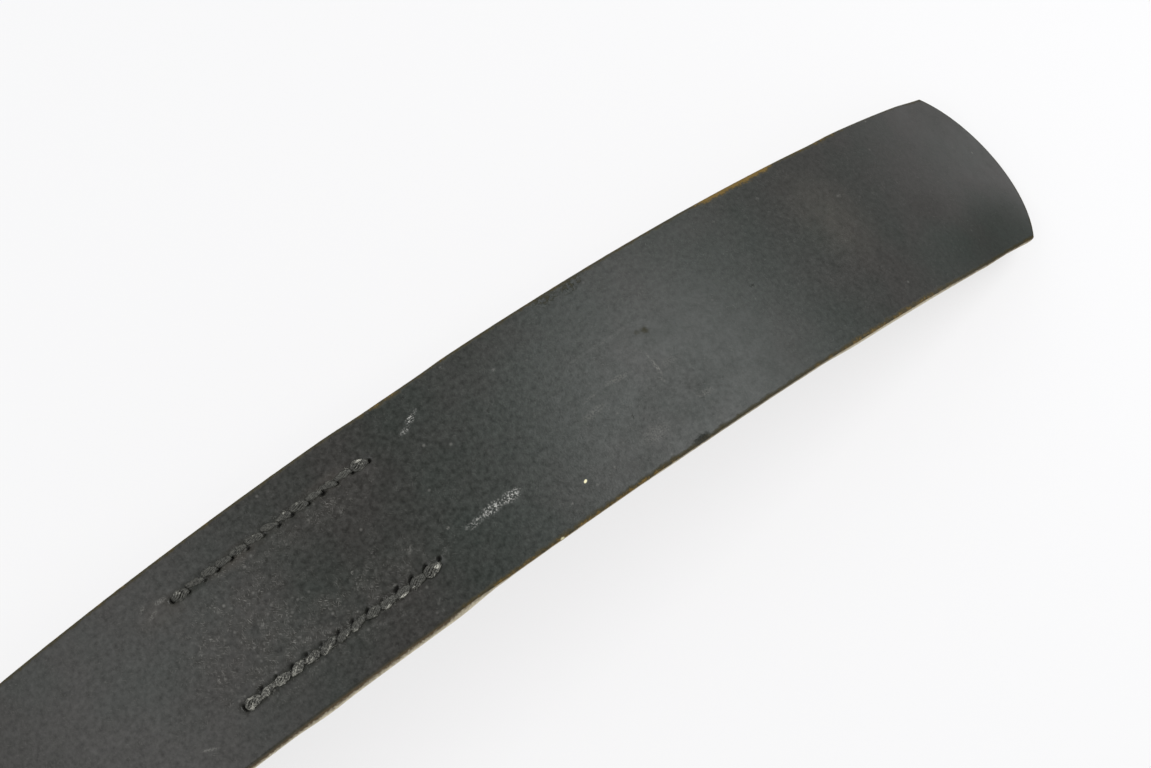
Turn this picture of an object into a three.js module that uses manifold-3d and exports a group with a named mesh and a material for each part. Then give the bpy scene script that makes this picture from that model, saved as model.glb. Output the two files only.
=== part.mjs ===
// A leather combat belt laid on a table, outer face up. Its round tip end arches up from the table as curled
// leather does, and the rest lies flat. Three pieces: the strap, the size tongue that is sewn under it, and the
// metal hook that the strap's other end is folded round.
// Millimetres, +Z up, the belt's length along X with the tip at +X. The origin is on the table, under the middle.

import * as THREE from "three";
import { mergeVertices } from "three/addons/utils/BufferGeometryUtils.js";
import Module from "manifold-3d";

const wasm = await Module();
wasm.setup();

const RAD = Math.PI / 180;
const GAP = 0.3; // between pieces that touch on the real belt

// Strap. Lengths along it are measured on the outer face from the tip's foremost point.
const STRAP_WIDTH = 45;
const STRAP_THICKNESS = 3;
const STRAP_LENGTH = 1000; // tip to fold
const TIP_ROUND = 11.5; // how far the round tip stands out past its corners
const ARCH_RADIUS = 257;
const TIP_SLOPE = 45.5 * RAD; // of the arch where the tip meets the table
const LANDING_SLOPE = 34 * RAD; // of the arch where it starts to level out again

// Fold round the hook's bar. The leather is skived thinner there, and narrower between the hook's rails.
const SKIVED_THICKNESS = 2.2;
const SKIVE_TAPER = 6;
const FOLD_TOP = 50; // level stretch before the fold
const RISE_RADIUS = 150; // of the two bends that lift the strap onto its folded end
const BAR_CHANNEL = 6; // level stretch under the bar
const JOG_RADIUS = 20; // of the two bends behind the bar
const FLAP = 26; // the folded end, past those bends
const FOLD_WIDTH = 36;

// Size tongue, sewn under the strap by its inner end. Its free end points to the tip and hangs a little open.
const TONGUE_WIDTH = 30;
const TONGUE_THICKNESS = 2.6;
const TONGUE_FREE_END = 76; // distances from the strap's tip
const TONGUE_SEWN_FROM = 190;
const TONGUE_SEWN_END = 245;
const TONGUE_DROOP = 2.2; // extra gap under the strap at the free end
const TONGUE_FREE_ROUND = 9;
const TONGUE_SEWN_ROUND = 3;
const PRONG_HOLES = { radius: 2, apart: 15, first: 92, pitch: 18, pairs: 6 };

// Hook: a stamped plate with a slot for the fold, and a narrow end curled up and back.
const PLATE_THICKNESS = 1.6;
const PLATE_CORNER = 4;
const BAR_SETBACK = 3; // from the fold's outermost point to the bar
const BAR_WIDTH = 5.5;
const SLOT_LENGTH = 4.2;
const SLOT_WIDTH = 38;
const PLATE_PAST_SLOT = 13;
const CURL_WIDTH = 20;
const CURL_REACH = 6; // from the plate to the start of the curl
const CURL_INNER_RADIUS = 2.6;
const CURL_RETURN = 11;

// How many flat facets stand for each round thing.
const FACETS = { arch: 80, landing: 24, rise: 5, fold: 14, jog: 4, tongue: 34, hole: 16, end: 28, corner: 6, curl: 12 };
const CUT_MARGIN = 4; // how far cutters reach past what they cut

const leather = (name, color) => new THREE.MeshStandardMaterial({ name, color, roughness: 0.55, metalness: 0 });
const BLACK_LEATHER = leather("black_leather", 0x2e2f2e);
const NATURAL_LEATHER = leather("natural_leather", 0x7a5233);
const STEEL = new THREE.MeshStandardMaterial({ name: "steel", color: 0x8d8f8e, roughness: 0.42, metalness: 1 });

// A closed three.js geometry as a manifold-3d solid.
function solid(geometry) {
  const bare = geometry.clone();
  bare.deleteAttribute("normal");
  bare.deleteAttribute("uv");
  const merged = mergeVertices(bare, 1e-4);
  const vertProperties = merged.attributes.position.array;
  const triVerts = new Uint32Array(merged.index.array);
  return new wasm.Manifold(new wasm.Mesh({ numProp: 3, vertProperties, triVerts }));
}

// A manifold-3d solid as a named three.js mesh.
function mesh(name, made, material) {
  const { vertProperties, triVerts } = made.getMesh();
  const geometry = new THREE.BufferGeometry();
  geometry.setAttribute("position", new THREE.BufferAttribute(vertProperties, 3));
  geometry.setIndex(new THREE.BufferAttribute(triVerts, 1));
  geometry.computeVertexNormals();
  const result = new THREE.Mesh(geometry, material);
  result.name = name;
  return result;
}

// A shape drawn in side view, as x and height, made `width` wide about the belt's centre plane.
function acrossBelt(shape, width, curveSegments = 1) {
  const geometry = new THREE.ExtrudeGeometry(shape, { depth: width, bevelEnabled: false, curveSegments });
  return geometry.rotateX(Math.PI / 2).translate(0, width / 2, 0);
}

function box(x0, x1, y0, y1, z0, z1) {
  const geometry = new THREE.BoxGeometry(x1 - x0, y1 - y0, z1 - z0);
  return solid(geometry.translate((x0 + x1) / 2, (y0 + y1) / 2, (z0 + z1) / 2));
}

// The strap's outer face in side view is a row of stretches, round and straight, from the tip to the end of the
// folded flap. A stretch turns the face's slope, which is its rise towards the hook end, by so many radians.
const round = (radius, turn, facets) => ({ length: radius * Math.abs(turn), turn, facets });
const straight = (length) => ({ length, turn: 0, facets: 1 });

const tipHeight = STRAP_THICKNESS * Math.cos(TIP_SLOPE);
const landingDrop = tipHeight - STRAP_THICKNESS + ARCH_RADIUS * (Math.cos(LANDING_SLOPE) - Math.cos(TIP_SLOPE));
const landingRadius = landingDrop / (1 - Math.cos(LANDING_SLOPE));
const foldRadius = SKIVED_THICKNESS + GAP + PLATE_THICKNESS / 2;
const riseTurn = Math.acos(1 - (2 * foldRadius - STRAP_THICKNESS) / (2 * RISE_RADIUS));
const jogTurn = Math.acos(1 - (PLATE_THICKNESS + GAP) / (2 * JOG_RADIUS));

const arch = round(ARCH_RADIUS, -(TIP_SLOPE + LANDING_SLOPE), FACETS.arch);
const landing = round(landingRadius, LANDING_SLOPE, FACETS.landing);
const rise = round(RISE_RADIUS, riseTurn, FACETS.rise);
const crest = round(RISE_RADIUS, -riseTurn, FACETS.rise);
const flat = straight(STRAP_LENGTH - FOLD_TOP - arch.length - landing.length - rise.length - crest.length);
const taper = straight(SKIVE_TAPER);
const skivedTop = straight(FOLD_TOP - SKIVE_TAPER);
const fold = round(foldRadius, -Math.PI, FACETS.fold);
const channel = straight(BAR_CHANNEL);
const jogUp = round(JOG_RADIUS, -jogTurn, FACETS.jog);
const jogLevel = round(JOG_RADIUS, jogTurn, FACETS.jog);
const flap = straight(FLAP);
const STRETCHES = [arch, landing, flat, rise, crest, taper, skivedTop, fold, channel, jogUp, jogLevel, flap];

// The point of the face `along` a stretch that begins at the point `from`.
function pointAlong(from, stretch, along) {
  const distance = from.distance + along;
  const slope = from.slope + (stretch.turn * along) / stretch.length;
  if (stretch.turn === 0) {
    return { distance, slope, x: from.x - along * Math.cos(slope), z: from.z + along * Math.sin(slope) };
  }
  const radius = stretch.length / stretch.turn;
  const x = from.x - radius * (Math.sin(slope) - Math.sin(from.slope));
  const z = from.z - radius * (Math.cos(slope) - Math.cos(from.slope));
  return { distance, slope, x, z };
}

// Where each stretch begins, and where the last one ends.
const begins = [{ distance: 0, slope: TIP_SLOPE, x: 0, z: tipHeight }];
for (const stretch of STRETCHES) begins.push(pointAlong(begins.at(-1), stretch, stretch.length));

const beginOf = (stretch) => begins[STRETCHES.indexOf(stretch)];
const flapEnd = begins.at(-1);
const foldFrontX = beginOf(fold).x - foldRadius; // the fold's outermost point

// The face's point at a distance from the tip.
function faceAt(distance) {
  const index = STRETCHES.findIndex((stretch, i) => distance <= begins[i + 1].distance);
  return pointAlong(begins[index], STRETCHES[index], distance - begins[index].distance);
}

// The point `depth` under the face.
function under(face, depth) {
  return new THREE.Vector2(face.x - depth * Math.sin(face.slope), face.z - depth * Math.cos(face.slope));
}

// Side view of a band between two depths under the face, through the given points of the face.
function bandShape(faces, topDepth, bottomDepth) {
  const top = faces.map((face) => under(face, topDepth(face)));
  const bottom = faces.map((face) => under(face, bottomDepth(face)));
  return new THREE.Shape([...top, ...bottom.reverse()]);
}

// What is cut off to round an end: all that lies past an arc through both corners, `bulge` beyond them.
function endCutter(face, width, bulge, towardsHook) {
  const half = width / 2;
  const radius = (half ** 2 + bulge ** 2) / (2 * bulge);
  const angle = Math.asin(half / radius);
  const shape = new THREE.Shape();
  shape.moveTo(-bulge, -half - CUT_MARGIN);
  shape.lineTo(-bulge, -half);
  shape.absarc(-radius, 0, radius, -angle, angle, false);
  shape.lineTo(-bulge, half + CUT_MARGIN);
  shape.lineTo(CUT_MARGIN, half + CUT_MARGIN);
  shape.lineTo(CUT_MARGIN, -half - CUT_MARGIN);
  shape.closePath();
  const depth = 2 * (STRAP_THICKNESS + TONGUE_THICKNESS + CUT_MARGIN);
  const geometry = new THREE.ExtrudeGeometry(shape, { depth, bevelEnabled: false, curveSegments: FACETS.end });
  geometry.translate(0, 0, -depth / 2);
  if (towardsHook) geometry.rotateZ(Math.PI);
  return solid(geometry.rotateY(face.slope).translate(face.x, 0, face.z));
}

function strapThickness(face) {
  const skived = THREE.MathUtils.clamp((face.distance - beginOf(taper).distance) / SKIVE_TAPER, 0, 1);
  return THREE.MathUtils.lerp(STRAP_THICKNESS, SKIVED_THICKNESS, skived);
}

function makeStrap() {
  const faces = STRETCHES.flatMap((stretch, i) =>
    Array.from({ length: stretch.facets }, (_, n) =>
      pointAlong(begins[i], stretch, (stretch.length * n) / stretch.facets),
    ),
  );
  const shape = bandShape([...faces, flapEnd], () => 0, strapThickness);
  let strap = solid(acrossBelt(shape, STRAP_WIDTH));
  strap = strap.subtract(endCutter(begins[0], STRAP_WIDTH, TIP_ROUND, false));

  // The fold's sides are cut away where it passes the hook's rails, and all along the flap under the strap.
  const railEnd = foldFrontX + BAR_SETBACK + BAR_WIDTH + 1;
  const flapTop = under(flapEnd, SKIVED_THICKNESS).y + GAP / 2;
  const foldTop = 2 * foldRadius + CUT_MARGIN;
  for (const side of [-1, 1]) {
    const [y0, y1] = side < 0 ? [-STRAP_WIDTH, -FOLD_WIDTH / 2] : [FOLD_WIDTH / 2, STRAP_WIDTH];
    strap = strap.subtract(box(foldFrontX - CUT_MARGIN, railEnd, y0, y1, -CUT_MARGIN, foldTop));
    strap = strap.subtract(box(railEnd - CUT_MARGIN, flapEnd.x + CUT_MARGIN, y0, y1, -CUT_MARGIN, flapTop));
  }
  return mesh("strap", strap, BLACK_LEATHER);
}

// How far the tongue's upper side lies under the strap's outer face.
function tongueDepth(face) {
  const free = (TONGUE_SEWN_FROM - face.distance) / (TONGUE_SEWN_FROM - TONGUE_FREE_END);
  return STRAP_THICKNESS + GAP + TONGUE_DROOP * Math.max(free, 0) ** 2;
}

function prongHole(distance, y) {
  const face = faceAt(distance);
  const middle = under(face, tongueDepth(face) + TONGUE_THICKNESS / 2);
  const length = TONGUE_THICKNESS + CUT_MARGIN;
  const geometry = new THREE.CylinderGeometry(PRONG_HOLES.radius, PRONG_HOLES.radius, length, FACETS.hole);
  return solid(geometry.rotateX(Math.PI / 2).rotateY(face.slope).translate(middle.x, y, middle.y));
}

function makeTongue() {
  const faces = Array.from({ length: FACETS.tongue + 1 }, (_, n) =>
    faceAt(THREE.MathUtils.lerp(TONGUE_FREE_END, TONGUE_SEWN_END, n / FACETS.tongue)),
  );
  const shape = bandShape(faces, tongueDepth, (face) => tongueDepth(face) + TONGUE_THICKNESS);
  let tongue = solid(acrossBelt(shape, TONGUE_WIDTH));
  tongue = tongue.subtract(endCutter(faces[0], TONGUE_WIDTH, TONGUE_FREE_ROUND, false));
  tongue = tongue.subtract(endCutter(faces.at(-1), TONGUE_WIDTH, TONGUE_SEWN_ROUND, true));
  for (let pair = 0; pair < PRONG_HOLES.pairs; pair += 1) {
    const distance = PRONG_HOLES.first + pair * PRONG_HOLES.pitch;
    tongue = tongue.subtract(prongHole(distance, -PRONG_HOLES.apart / 2));
    tongue = tongue.subtract(prongHole(distance, PRONG_HOLES.apart / 2));
  }
  return mesh("tongue", tongue, NATURAL_LEATHER);
}

const slotFront = BAR_SETBACK - SLOT_LENGTH; // x in the hook's own frame, from the fold's outermost point
const plateFront = slotFront - PLATE_PAST_SLOT;

function platePlan() {
  const back = BAR_SETBACK + BAR_WIDTH;
  const half = STRAP_WIDTH / 2;
  const cornerX = plateFront + PLATE_CORNER;
  const cornerY = half - PLATE_CORNER;
  const plan = new THREE.Shape();
  plan.moveTo(back, -half);
  plan.lineTo(back, half);
  plan.absarc(cornerX, cornerY, PLATE_CORNER, Math.PI / 2, Math.PI, false);
  plan.absarc(cornerX, -cornerY, PLATE_CORNER, Math.PI, 1.5 * Math.PI, false);
  plan.closePath();
  const slot = new THREE.Path();
  slot.moveTo(slotFront, -SLOT_WIDTH / 2);
  slot.lineTo(BAR_SETBACK, -SLOT_WIDTH / 2);
  slot.lineTo(BAR_SETBACK, SLOT_WIDTH / 2);
  slot.lineTo(slotFront, SLOT_WIDTH / 2);
  slot.closePath();
  plan.holes.push(slot);
  return plan;
}

// Side view of the curled end: it leaves the plate, turns up and comes back over it.
function curlShape(bottom) {
  const root = plateFront + PLATE_CORNER;
  const bend = plateFront - CURL_REACH;
  const outer = CURL_INNER_RADIUS + PLATE_THICKNESS;
  const middle = bottom + outer;
  const shape = new THREE.Shape();
  shape.moveTo(root, bottom);
  shape.lineTo(root, bottom + PLATE_THICKNESS);
  shape.absarc(bend, middle, CURL_INNER_RADIUS, 1.5 * Math.PI, Math.PI / 2, true);
  shape.lineTo(bend + CURL_RETURN, middle + CURL_INNER_RADIUS);
  shape.lineTo(bend + CURL_RETURN, middle + outer);
  shape.absarc(bend, middle, outer, Math.PI / 2, 1.5 * Math.PI, false);
  shape.closePath();
  return shape;
}

function makeHook() {
  const bottom = SKIVED_THICKNESS + GAP;
  const stamping = { depth: PLATE_THICKNESS, bevelEnabled: false, curveSegments: FACETS.corner };
  const plate = new THREE.ExtrudeGeometry(platePlan(), stamping).translate(0, 0, bottom);
  const curl = acrossBelt(curlShape(bottom), CURL_WIDTH, FACETS.curl);
  const hook = mesh("hook", solid(plate).add(solid(curl)), STEEL);
  hook.position.x = foldFrontX;
  return hook;
}

const belt = new THREE.Group();
belt.name = "combat_belt";
belt.add(makeStrap(), makeTongue(), makeHook());
const reach = new THREE.Box3().setFromObject(belt);
belt.position.x = -(reach.min.x + reach.max.x) / 2;

export default belt;
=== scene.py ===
"""The looks of a leather combat belt that lies on a pale table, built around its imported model.

The leather and the thread are modelled in flat coordinates, in millimetres: along the belt from its round
tip, across it from its middle line, and down from its outer face. BeltLine bends them into the belt's shape.
"""

import logging
import math
import random
from dataclasses import dataclass, field
from enum import Enum

import bmesh
import bpy
import numpy as np
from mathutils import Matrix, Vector, noise


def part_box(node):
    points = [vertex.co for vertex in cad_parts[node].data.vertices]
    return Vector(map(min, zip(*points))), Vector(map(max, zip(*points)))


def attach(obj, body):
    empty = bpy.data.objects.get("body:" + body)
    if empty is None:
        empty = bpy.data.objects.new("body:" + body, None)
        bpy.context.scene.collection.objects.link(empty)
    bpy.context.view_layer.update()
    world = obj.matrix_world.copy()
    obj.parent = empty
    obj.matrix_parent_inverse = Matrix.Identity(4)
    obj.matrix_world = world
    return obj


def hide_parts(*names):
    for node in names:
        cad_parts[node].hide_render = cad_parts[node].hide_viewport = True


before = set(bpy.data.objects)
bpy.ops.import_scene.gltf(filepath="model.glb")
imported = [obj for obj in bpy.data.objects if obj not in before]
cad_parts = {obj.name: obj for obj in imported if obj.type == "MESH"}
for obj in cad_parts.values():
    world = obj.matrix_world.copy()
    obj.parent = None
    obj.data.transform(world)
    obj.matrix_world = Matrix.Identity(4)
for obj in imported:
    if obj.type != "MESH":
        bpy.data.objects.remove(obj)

MM = 0.001
THROUGH_MM = 1000.0
ROOT = "root"
log = logging.getLogger("belt")

Array = np.ndarray
Material = bpy.types.Material
Node = bpy.types.Node
Socket = bpy.types.NodeSocket
Tree = bpy.types.NodeTree
Feed = Node | Socket
Range = tuple[float, float]
Stops = tuple[tuple[float, str], ...]
Inputs = dict[str, object] | tuple[object, ...]
Sizes = tuple[float, float, float]


def srgb(code: str) -> tuple[float, float, float, float]:
    """Turn an sRGB hex colour into Blender's linear one.

    Args:
        code: six hex digits after a #.

    Returns:
        Red, green, blue and an alpha of 1.
    """
    parts = [int(code[i : i + 2], 16) / 255 for i in (1, 3, 5)]
    linear = [p / 12.92 if p <= 0.04045 else ((p + 0.055) / 1.055) ** 2.4 for p in parts]
    return (*linear, 1.0)


def add_node(tree: Tree, kind: str, inputs: Inputs = (), stops: Stops = (), **settings: object) -> Node:
    """Add a shader node with its settings, and set or link its inputs.

    In the node's own order, a TexNoise takes its place, scale, detail and roughness, a MapRange its value and
    the ranges that it is taken from and brought to, and a Mix its factor and its two parts.

    Args:
        tree: the material's nodes.
        kind: the node's type, without the ShaderNode before it.
        inputs: by name or in the node's own order, a value or what feeds it. A node feeds its first output.
        stops: a colour ramp's places and hex colours.
        settings: the node's other settings.

    Returns:
        The node.
    """
    made = tree.nodes.new("ShaderNode" + kind)
    for name, value in settings.items():
        setattr(made, name, value)
    for number, (place, code) in enumerate(stops):
        made.color_ramp.elements[number].position = place
        made.color_ramp.elements[number].color = srgb(code)
    named = isinstance(inputs, dict)
    sockets = made.inputs if named else [socket for socket in made.inputs if socket.enabled]
    for key, value in inputs.items() if named else enumerate(inputs):
        if isinstance(value, Node):
            value = next(output for output in value.outputs if output.enabled)
        if isinstance(value, Socket):
            tree.links.new(value, sockets[key])
        else:
            sockets[key].default_value = value
    return made


def rows_of(kind: type, *rows: tuple[float, ...]) -> tuple:
    """Make one thing of a kind from each row of numbers."""
    return tuple(kind(*row) for row in rows)


def smooth_step(value: Array, low: float, high: float) -> Array:
    """Rise smoothly from 0 at low to 1 at high."""
    t = np.clip((value - low) / (high - low), 0.0, 1.0)
    return t * t * (3 - 2 * t)


def arc_radius(half_chord: float, depth: float) -> float:
    """Give the radius of an arc from half its chord and its depth."""
    return (half_chord**2 + depth**2) / (2 * depth)


def drawn_back(radius: float, offset: Array) -> Array:
    """Give how far an arc has drawn back at a distance from its foremost point."""
    return radius - np.sqrt(radius**2 - offset**2)


def rounding(distance: Array, radius: float) -> Array:
    """Give how far a rounded rim has dropped at a distance from the cut edge."""
    return drawn_back(radius, np.clip(radius - distance, 0.0, radius))


def waves(along: Array, across: Array, length: float, seed: float) -> Array:
    """Make soft random unevenness over the flat leather.

    Args:
        along: millimetres along the belt.
        across: millimetres across it.
        length: the waves' size in millimetres.
        seed: a number that picks one pattern.

    Returns:
        Values of about -1 to 1, in the shape of the inputs.
    """
    points = zip(along.ravel() / length, across.ravel() / length)
    values = [noise.noise(Vector((a, c, seed))) for a, c in points]
    return np.array(values).reshape(along.shape)


def spaced(stops: list[Range], end: float) -> Array:
    """Place grid lines with steps that change at stops.

    Args:
        stops: where each stretch of the grid begins, and its step, in millimetres.
        end: where the last one ends.

    Returns:
        The lines' places.
    """
    lines = []
    for (begin, step), (after, _) in zip(stops, [*stops[1:], (end, 0.0)]):
        count = max(1, round((after - begin) / step))
        lines.extend(np.linspace(begin, after, count, endpoint=False))
    return np.array([*lines, end])


@dataclass(frozen=True)
class Stretch:
    """A straight or round stretch of the belt's side view: its length, and how far it turns in radians."""

    length: float
    turn: float = 0.0

    @classmethod
    def bend(cls, radius: float, turn: float) -> "Stretch":
        """Make a round stretch."""
        return cls(radius * abs(turn), turn)


@dataclass
class BeltLine:
    """The side view of the belt as it lies: its outer face, from the foremost point to the folded end."""

    tip_x: float
    thickness: float = 3.0
    length: float = 1000.0
    tip_slope: float = math.radians(45.5)
    landing_slope: float = math.radians(34.0)
    arch_radius: float = 257.0
    skived_thickness: float = 2.2
    skive_taper: float = 6.0
    gap: float = 0.3
    plate_thickness: float = 1.6
    fold_top: float = 50.0
    rise_radius: float = 150.0
    bar_channel: float = 6.0
    jog_radius: float = 20.0
    flap: float = 26.0

    def __post_init__(self) -> None:
        """Chain the stretches, and note where each begins."""
        self.fold_radius = self.skived_thickness + self.gap + self.plate_thickness / 2
        tip_height = self.thickness * math.cos(self.tip_slope)
        arch_drop = self.arch_radius * (math.cos(self.landing_slope) - math.cos(self.tip_slope))
        landing_radius = (tip_height - self.thickness + arch_drop) / (1 - math.cos(self.landing_slope))
        rise_turn = math.acos(1 - (2 * self.fold_radius - self.thickness) / (2 * self.rise_radius))
        jog_turn = math.acos(1 - (self.plate_thickness + self.gap) / (2 * self.jog_radius))
        arch = Stretch.bend(self.arch_radius, -(self.tip_slope + self.landing_slope))
        raised = [arch, Stretch.bend(landing_radius, self.landing_slope)]
        rise = [Stretch.bend(self.rise_radius, turn) for turn in (rise_turn, -rise_turn)]
        flat = self.length - self.fold_top - sum(stretch.length for stretch in raised + rise)
        self.stretches = [
            *raised,
            Stretch(flat),
            *rise,
            Stretch(self.fold_top),
            Stretch.bend(self.fold_radius, -math.pi),
            Stretch(self.bar_channel),
            Stretch.bend(self.jog_radius, -jog_turn),
            Stretch.bend(self.jog_radius, jog_turn),
            Stretch(self.flap),
        ]
        self.fold_begin = self.length
        self.fold_end = self.length + math.pi * self.fold_radius
        begins = [(0.0, self.tip_x, tip_height, self.tip_slope)]
        for stretch in self.stretches:
            begins.append(self._end_of(begins[-1], stretch))
        self.begins = np.array(begins)
        self.end = float(self.begins[-1, 0])

    def _end_of(self, begin: tuple[float, ...], stretch: Stretch) -> tuple[float, ...]:
        """Find where a stretch ends.

        Args:
            begin: where it begins, as distance, x, height and slope.
            stretch: the stretch.

        Returns:
            The same four numbers at its end.
        """
        distance, x, z, slope = begin
        end_slope = slope + stretch.turn
        if stretch.turn:
            radius = stretch.length / stretch.turn
            x -= radius * (math.sin(end_slope) - math.sin(slope))
            z -= radius * (math.cos(end_slope) - math.cos(slope))
        else:
            x -= stretch.length * math.cos(slope)
            z += stretch.length * math.sin(slope)
        return distance + stretch.length, x, z, end_slope

    def face(self, along: Array) -> tuple[Array, Array, Array]:
        """Find the face's points at distances from the tip.

        Args:
            along: the distances in millimetres.

        Returns:
            Their x and height in millimetres, and the face's slope there in radians.
        """
        index = np.searchsorted(self.begins[:-1, 0], along, side="right") - 1
        index = np.clip(index, 0, len(self.stretches) - 1)
        distance, x, z, slope = (self.begins[index, i] for i in range(4))
        length = np.array([stretch.length for stretch in self.stretches])[index]
        turn = np.array([stretch.turn for stretch in self.stretches])[index]
        step = along - distance
        is_round = turn != 0
        radius = np.where(is_round, length / np.where(is_round, turn, 1.0), 0.0)
        here = slope + turn * step / length
        x = np.where(is_round, x - radius * (np.sin(here) - np.sin(slope)), x - step * np.cos(slope))
        z = np.where(is_round, z - radius * (np.cos(here) - np.cos(slope)), z + step * np.sin(slope))
        return x, z, here

    def place(self, flat: Array) -> Array:
        """Bend flat leather into the belt's shape.

        Args:
            flat: rows of along, across and depth in millimetres.

        Returns:
            Rows of x, y and z in metres.
        """
        x, z, slope = self.face(flat[:, 0])
        depth = flat[:, 2]
        return np.column_stack((x - depth * np.sin(slope), flat[:, 1], z - depth * np.cos(slope))) * MM

    def strap_thickness(self, along: Array) -> Array:
        """Give the strap's thickness at distances from the tip: it is skived before the fold."""
        skived = np.clip((along - self.length + self.fold_top) / self.skive_taper, 0, 1)
        return self.thickness + (self.skived_thickness - self.thickness) * skived


@dataclass(frozen=True)
class Dent:
    """A hollow in a leather face: its middle, its half sizes and depth in millimetres, and its turn."""

    along: float
    across: float
    half_length: float
    half_width: float
    depth: float
    turn_deg: float = 0.0

    def depth_at(self, along: Array, across: Array) -> Array:
        """Give the hollow's depth at points of the face.

        Args:
            along: their places along the belt.
            across: their places across it.

        Returns:
            The depths in millimetres.
        """
        turn = math.radians(self.turn_deg)
        a, c = along - self.along, across - self.across
        u = (a * math.cos(turn) + c * math.sin(turn)) / self.half_length
        v = (c * math.cos(turn) - a * math.sin(turn)) / self.half_width
        return self.depth * np.exp(-((u * u + v * v) ** 1.5))


@dataclass(frozen=True)
class Span:
    """A stretch of one long edge, between two places along the belt, and an amount in millimetres."""

    begin: float
    end: float
    side: int
    amount: float
    fade: float

    def at(self, along: Array, across: Array) -> Array:
        """Give the amount at points of the belt.

        Args:
            along: their places along the belt.
            across: their places across it.

        Returns:
            The amounts, 0 outside the stretch.
        """
        inside = smooth_step(along, self.begin, self.begin + self.fade)
        inside = inside * (1 - smooth_step(along, self.end - self.fade, self.end))
        return self.amount * inside * (np.sign(across) == self.side)


Spans = tuple[Span, ...]


@dataclass(frozen=True)
class WornSpot:
    """A spot where a thread's wax is worn off: its place and half sizes in millimetres, and its paleness."""

    along: float
    across: float
    half_length: float
    half_width: float
    amount: float

    def at(self, along: Array, across: Array) -> Array:
        """Give how pale the spot makes points of the thread.

        Args:
            along: their places along the belt.
            across: their places across it.

        Returns:
            Their paleness.
        """
        u = (along - self.along) / self.half_length
        v = (across - self.across) / self.half_width
        return self.amount * np.exp(-(u * u + v * v))


@dataclass(frozen=True)
class Mark:
    """A mark in the finish: its middle and half sizes in millimetres, its turn, its strength and its rim.

    The rim is the share of the mark that it fades over.
    """

    along: float
    across: float
    half_length: float
    half_width: float
    turn_deg: float = 0.0
    strength: float = 1.0
    soft: float = 0.8

    def mask(self, tree: Tree, flat: Feed) -> Node:
        """Make the mark's mask: its strength in the middle, falling to 0 at its rim.

        Args:
            tree: the material's nodes.
            flat: the flat coordinates.

        Returns:
            The mask.
        """
        place, turn = (self.along, self.across, 0.0), (0.0, 0.0, math.radians(self.turn_deg))
        size = (self.half_length, self.half_width, THROUGH_MM)
        local = add_node(tree, "Mapping", (flat, place, turn, size), vector_type="TEXTURE")
        reach = add_node(tree, "VectorMath", (local,), operation="LENGTH")
        fade = (reach, 1 - self.soft, 1.0, self.strength, 0.0)
        return add_node(tree, "MapRange", fade, interpolation_type="SMOOTHSTEP")


Marks = tuple[Mark, ...]


def joined(tree: Tree, flat: Feed, marks: Marks, texture: Feed | None = None) -> Node:
    """Join the masks of several marks.

    Args:
        tree: the material's nodes.
        flat: the flat coordinates.
        marks: the marks.
        texture: what breaks their masks up, if anything.

    Returns:
        The joined mask.
    """
    total = marks[0].mask(tree, flat)
    for mark in marks[1:]:
        total = add_node(tree, "Math", (total, mark.mask(tree, flat)), operation="MAXIMUM")
    if texture is not None:
        total = add_node(tree, "Math", (total, texture), operation="MULTIPLY")
    return total


@dataclass(frozen=True)
class PunchedHole:
    """A round hole through a blank, in the block of cells between two rows and two columns.

    The rings of its rounded mouth are given as shares of its radius, with their depths in millimetres. The
    inset is what its mouth and wall count as their distance from the cut edge.
    """

    along: float
    across: float
    radius: float
    rows: tuple[int, int]
    columns: tuple[int, int]
    mouth: tuple[Range, ...] = ((1.45, 0.0), (1.18, 0.04), (1.04, 0.16), (1.0, 0.4))
    inset: float = 3.0


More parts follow.
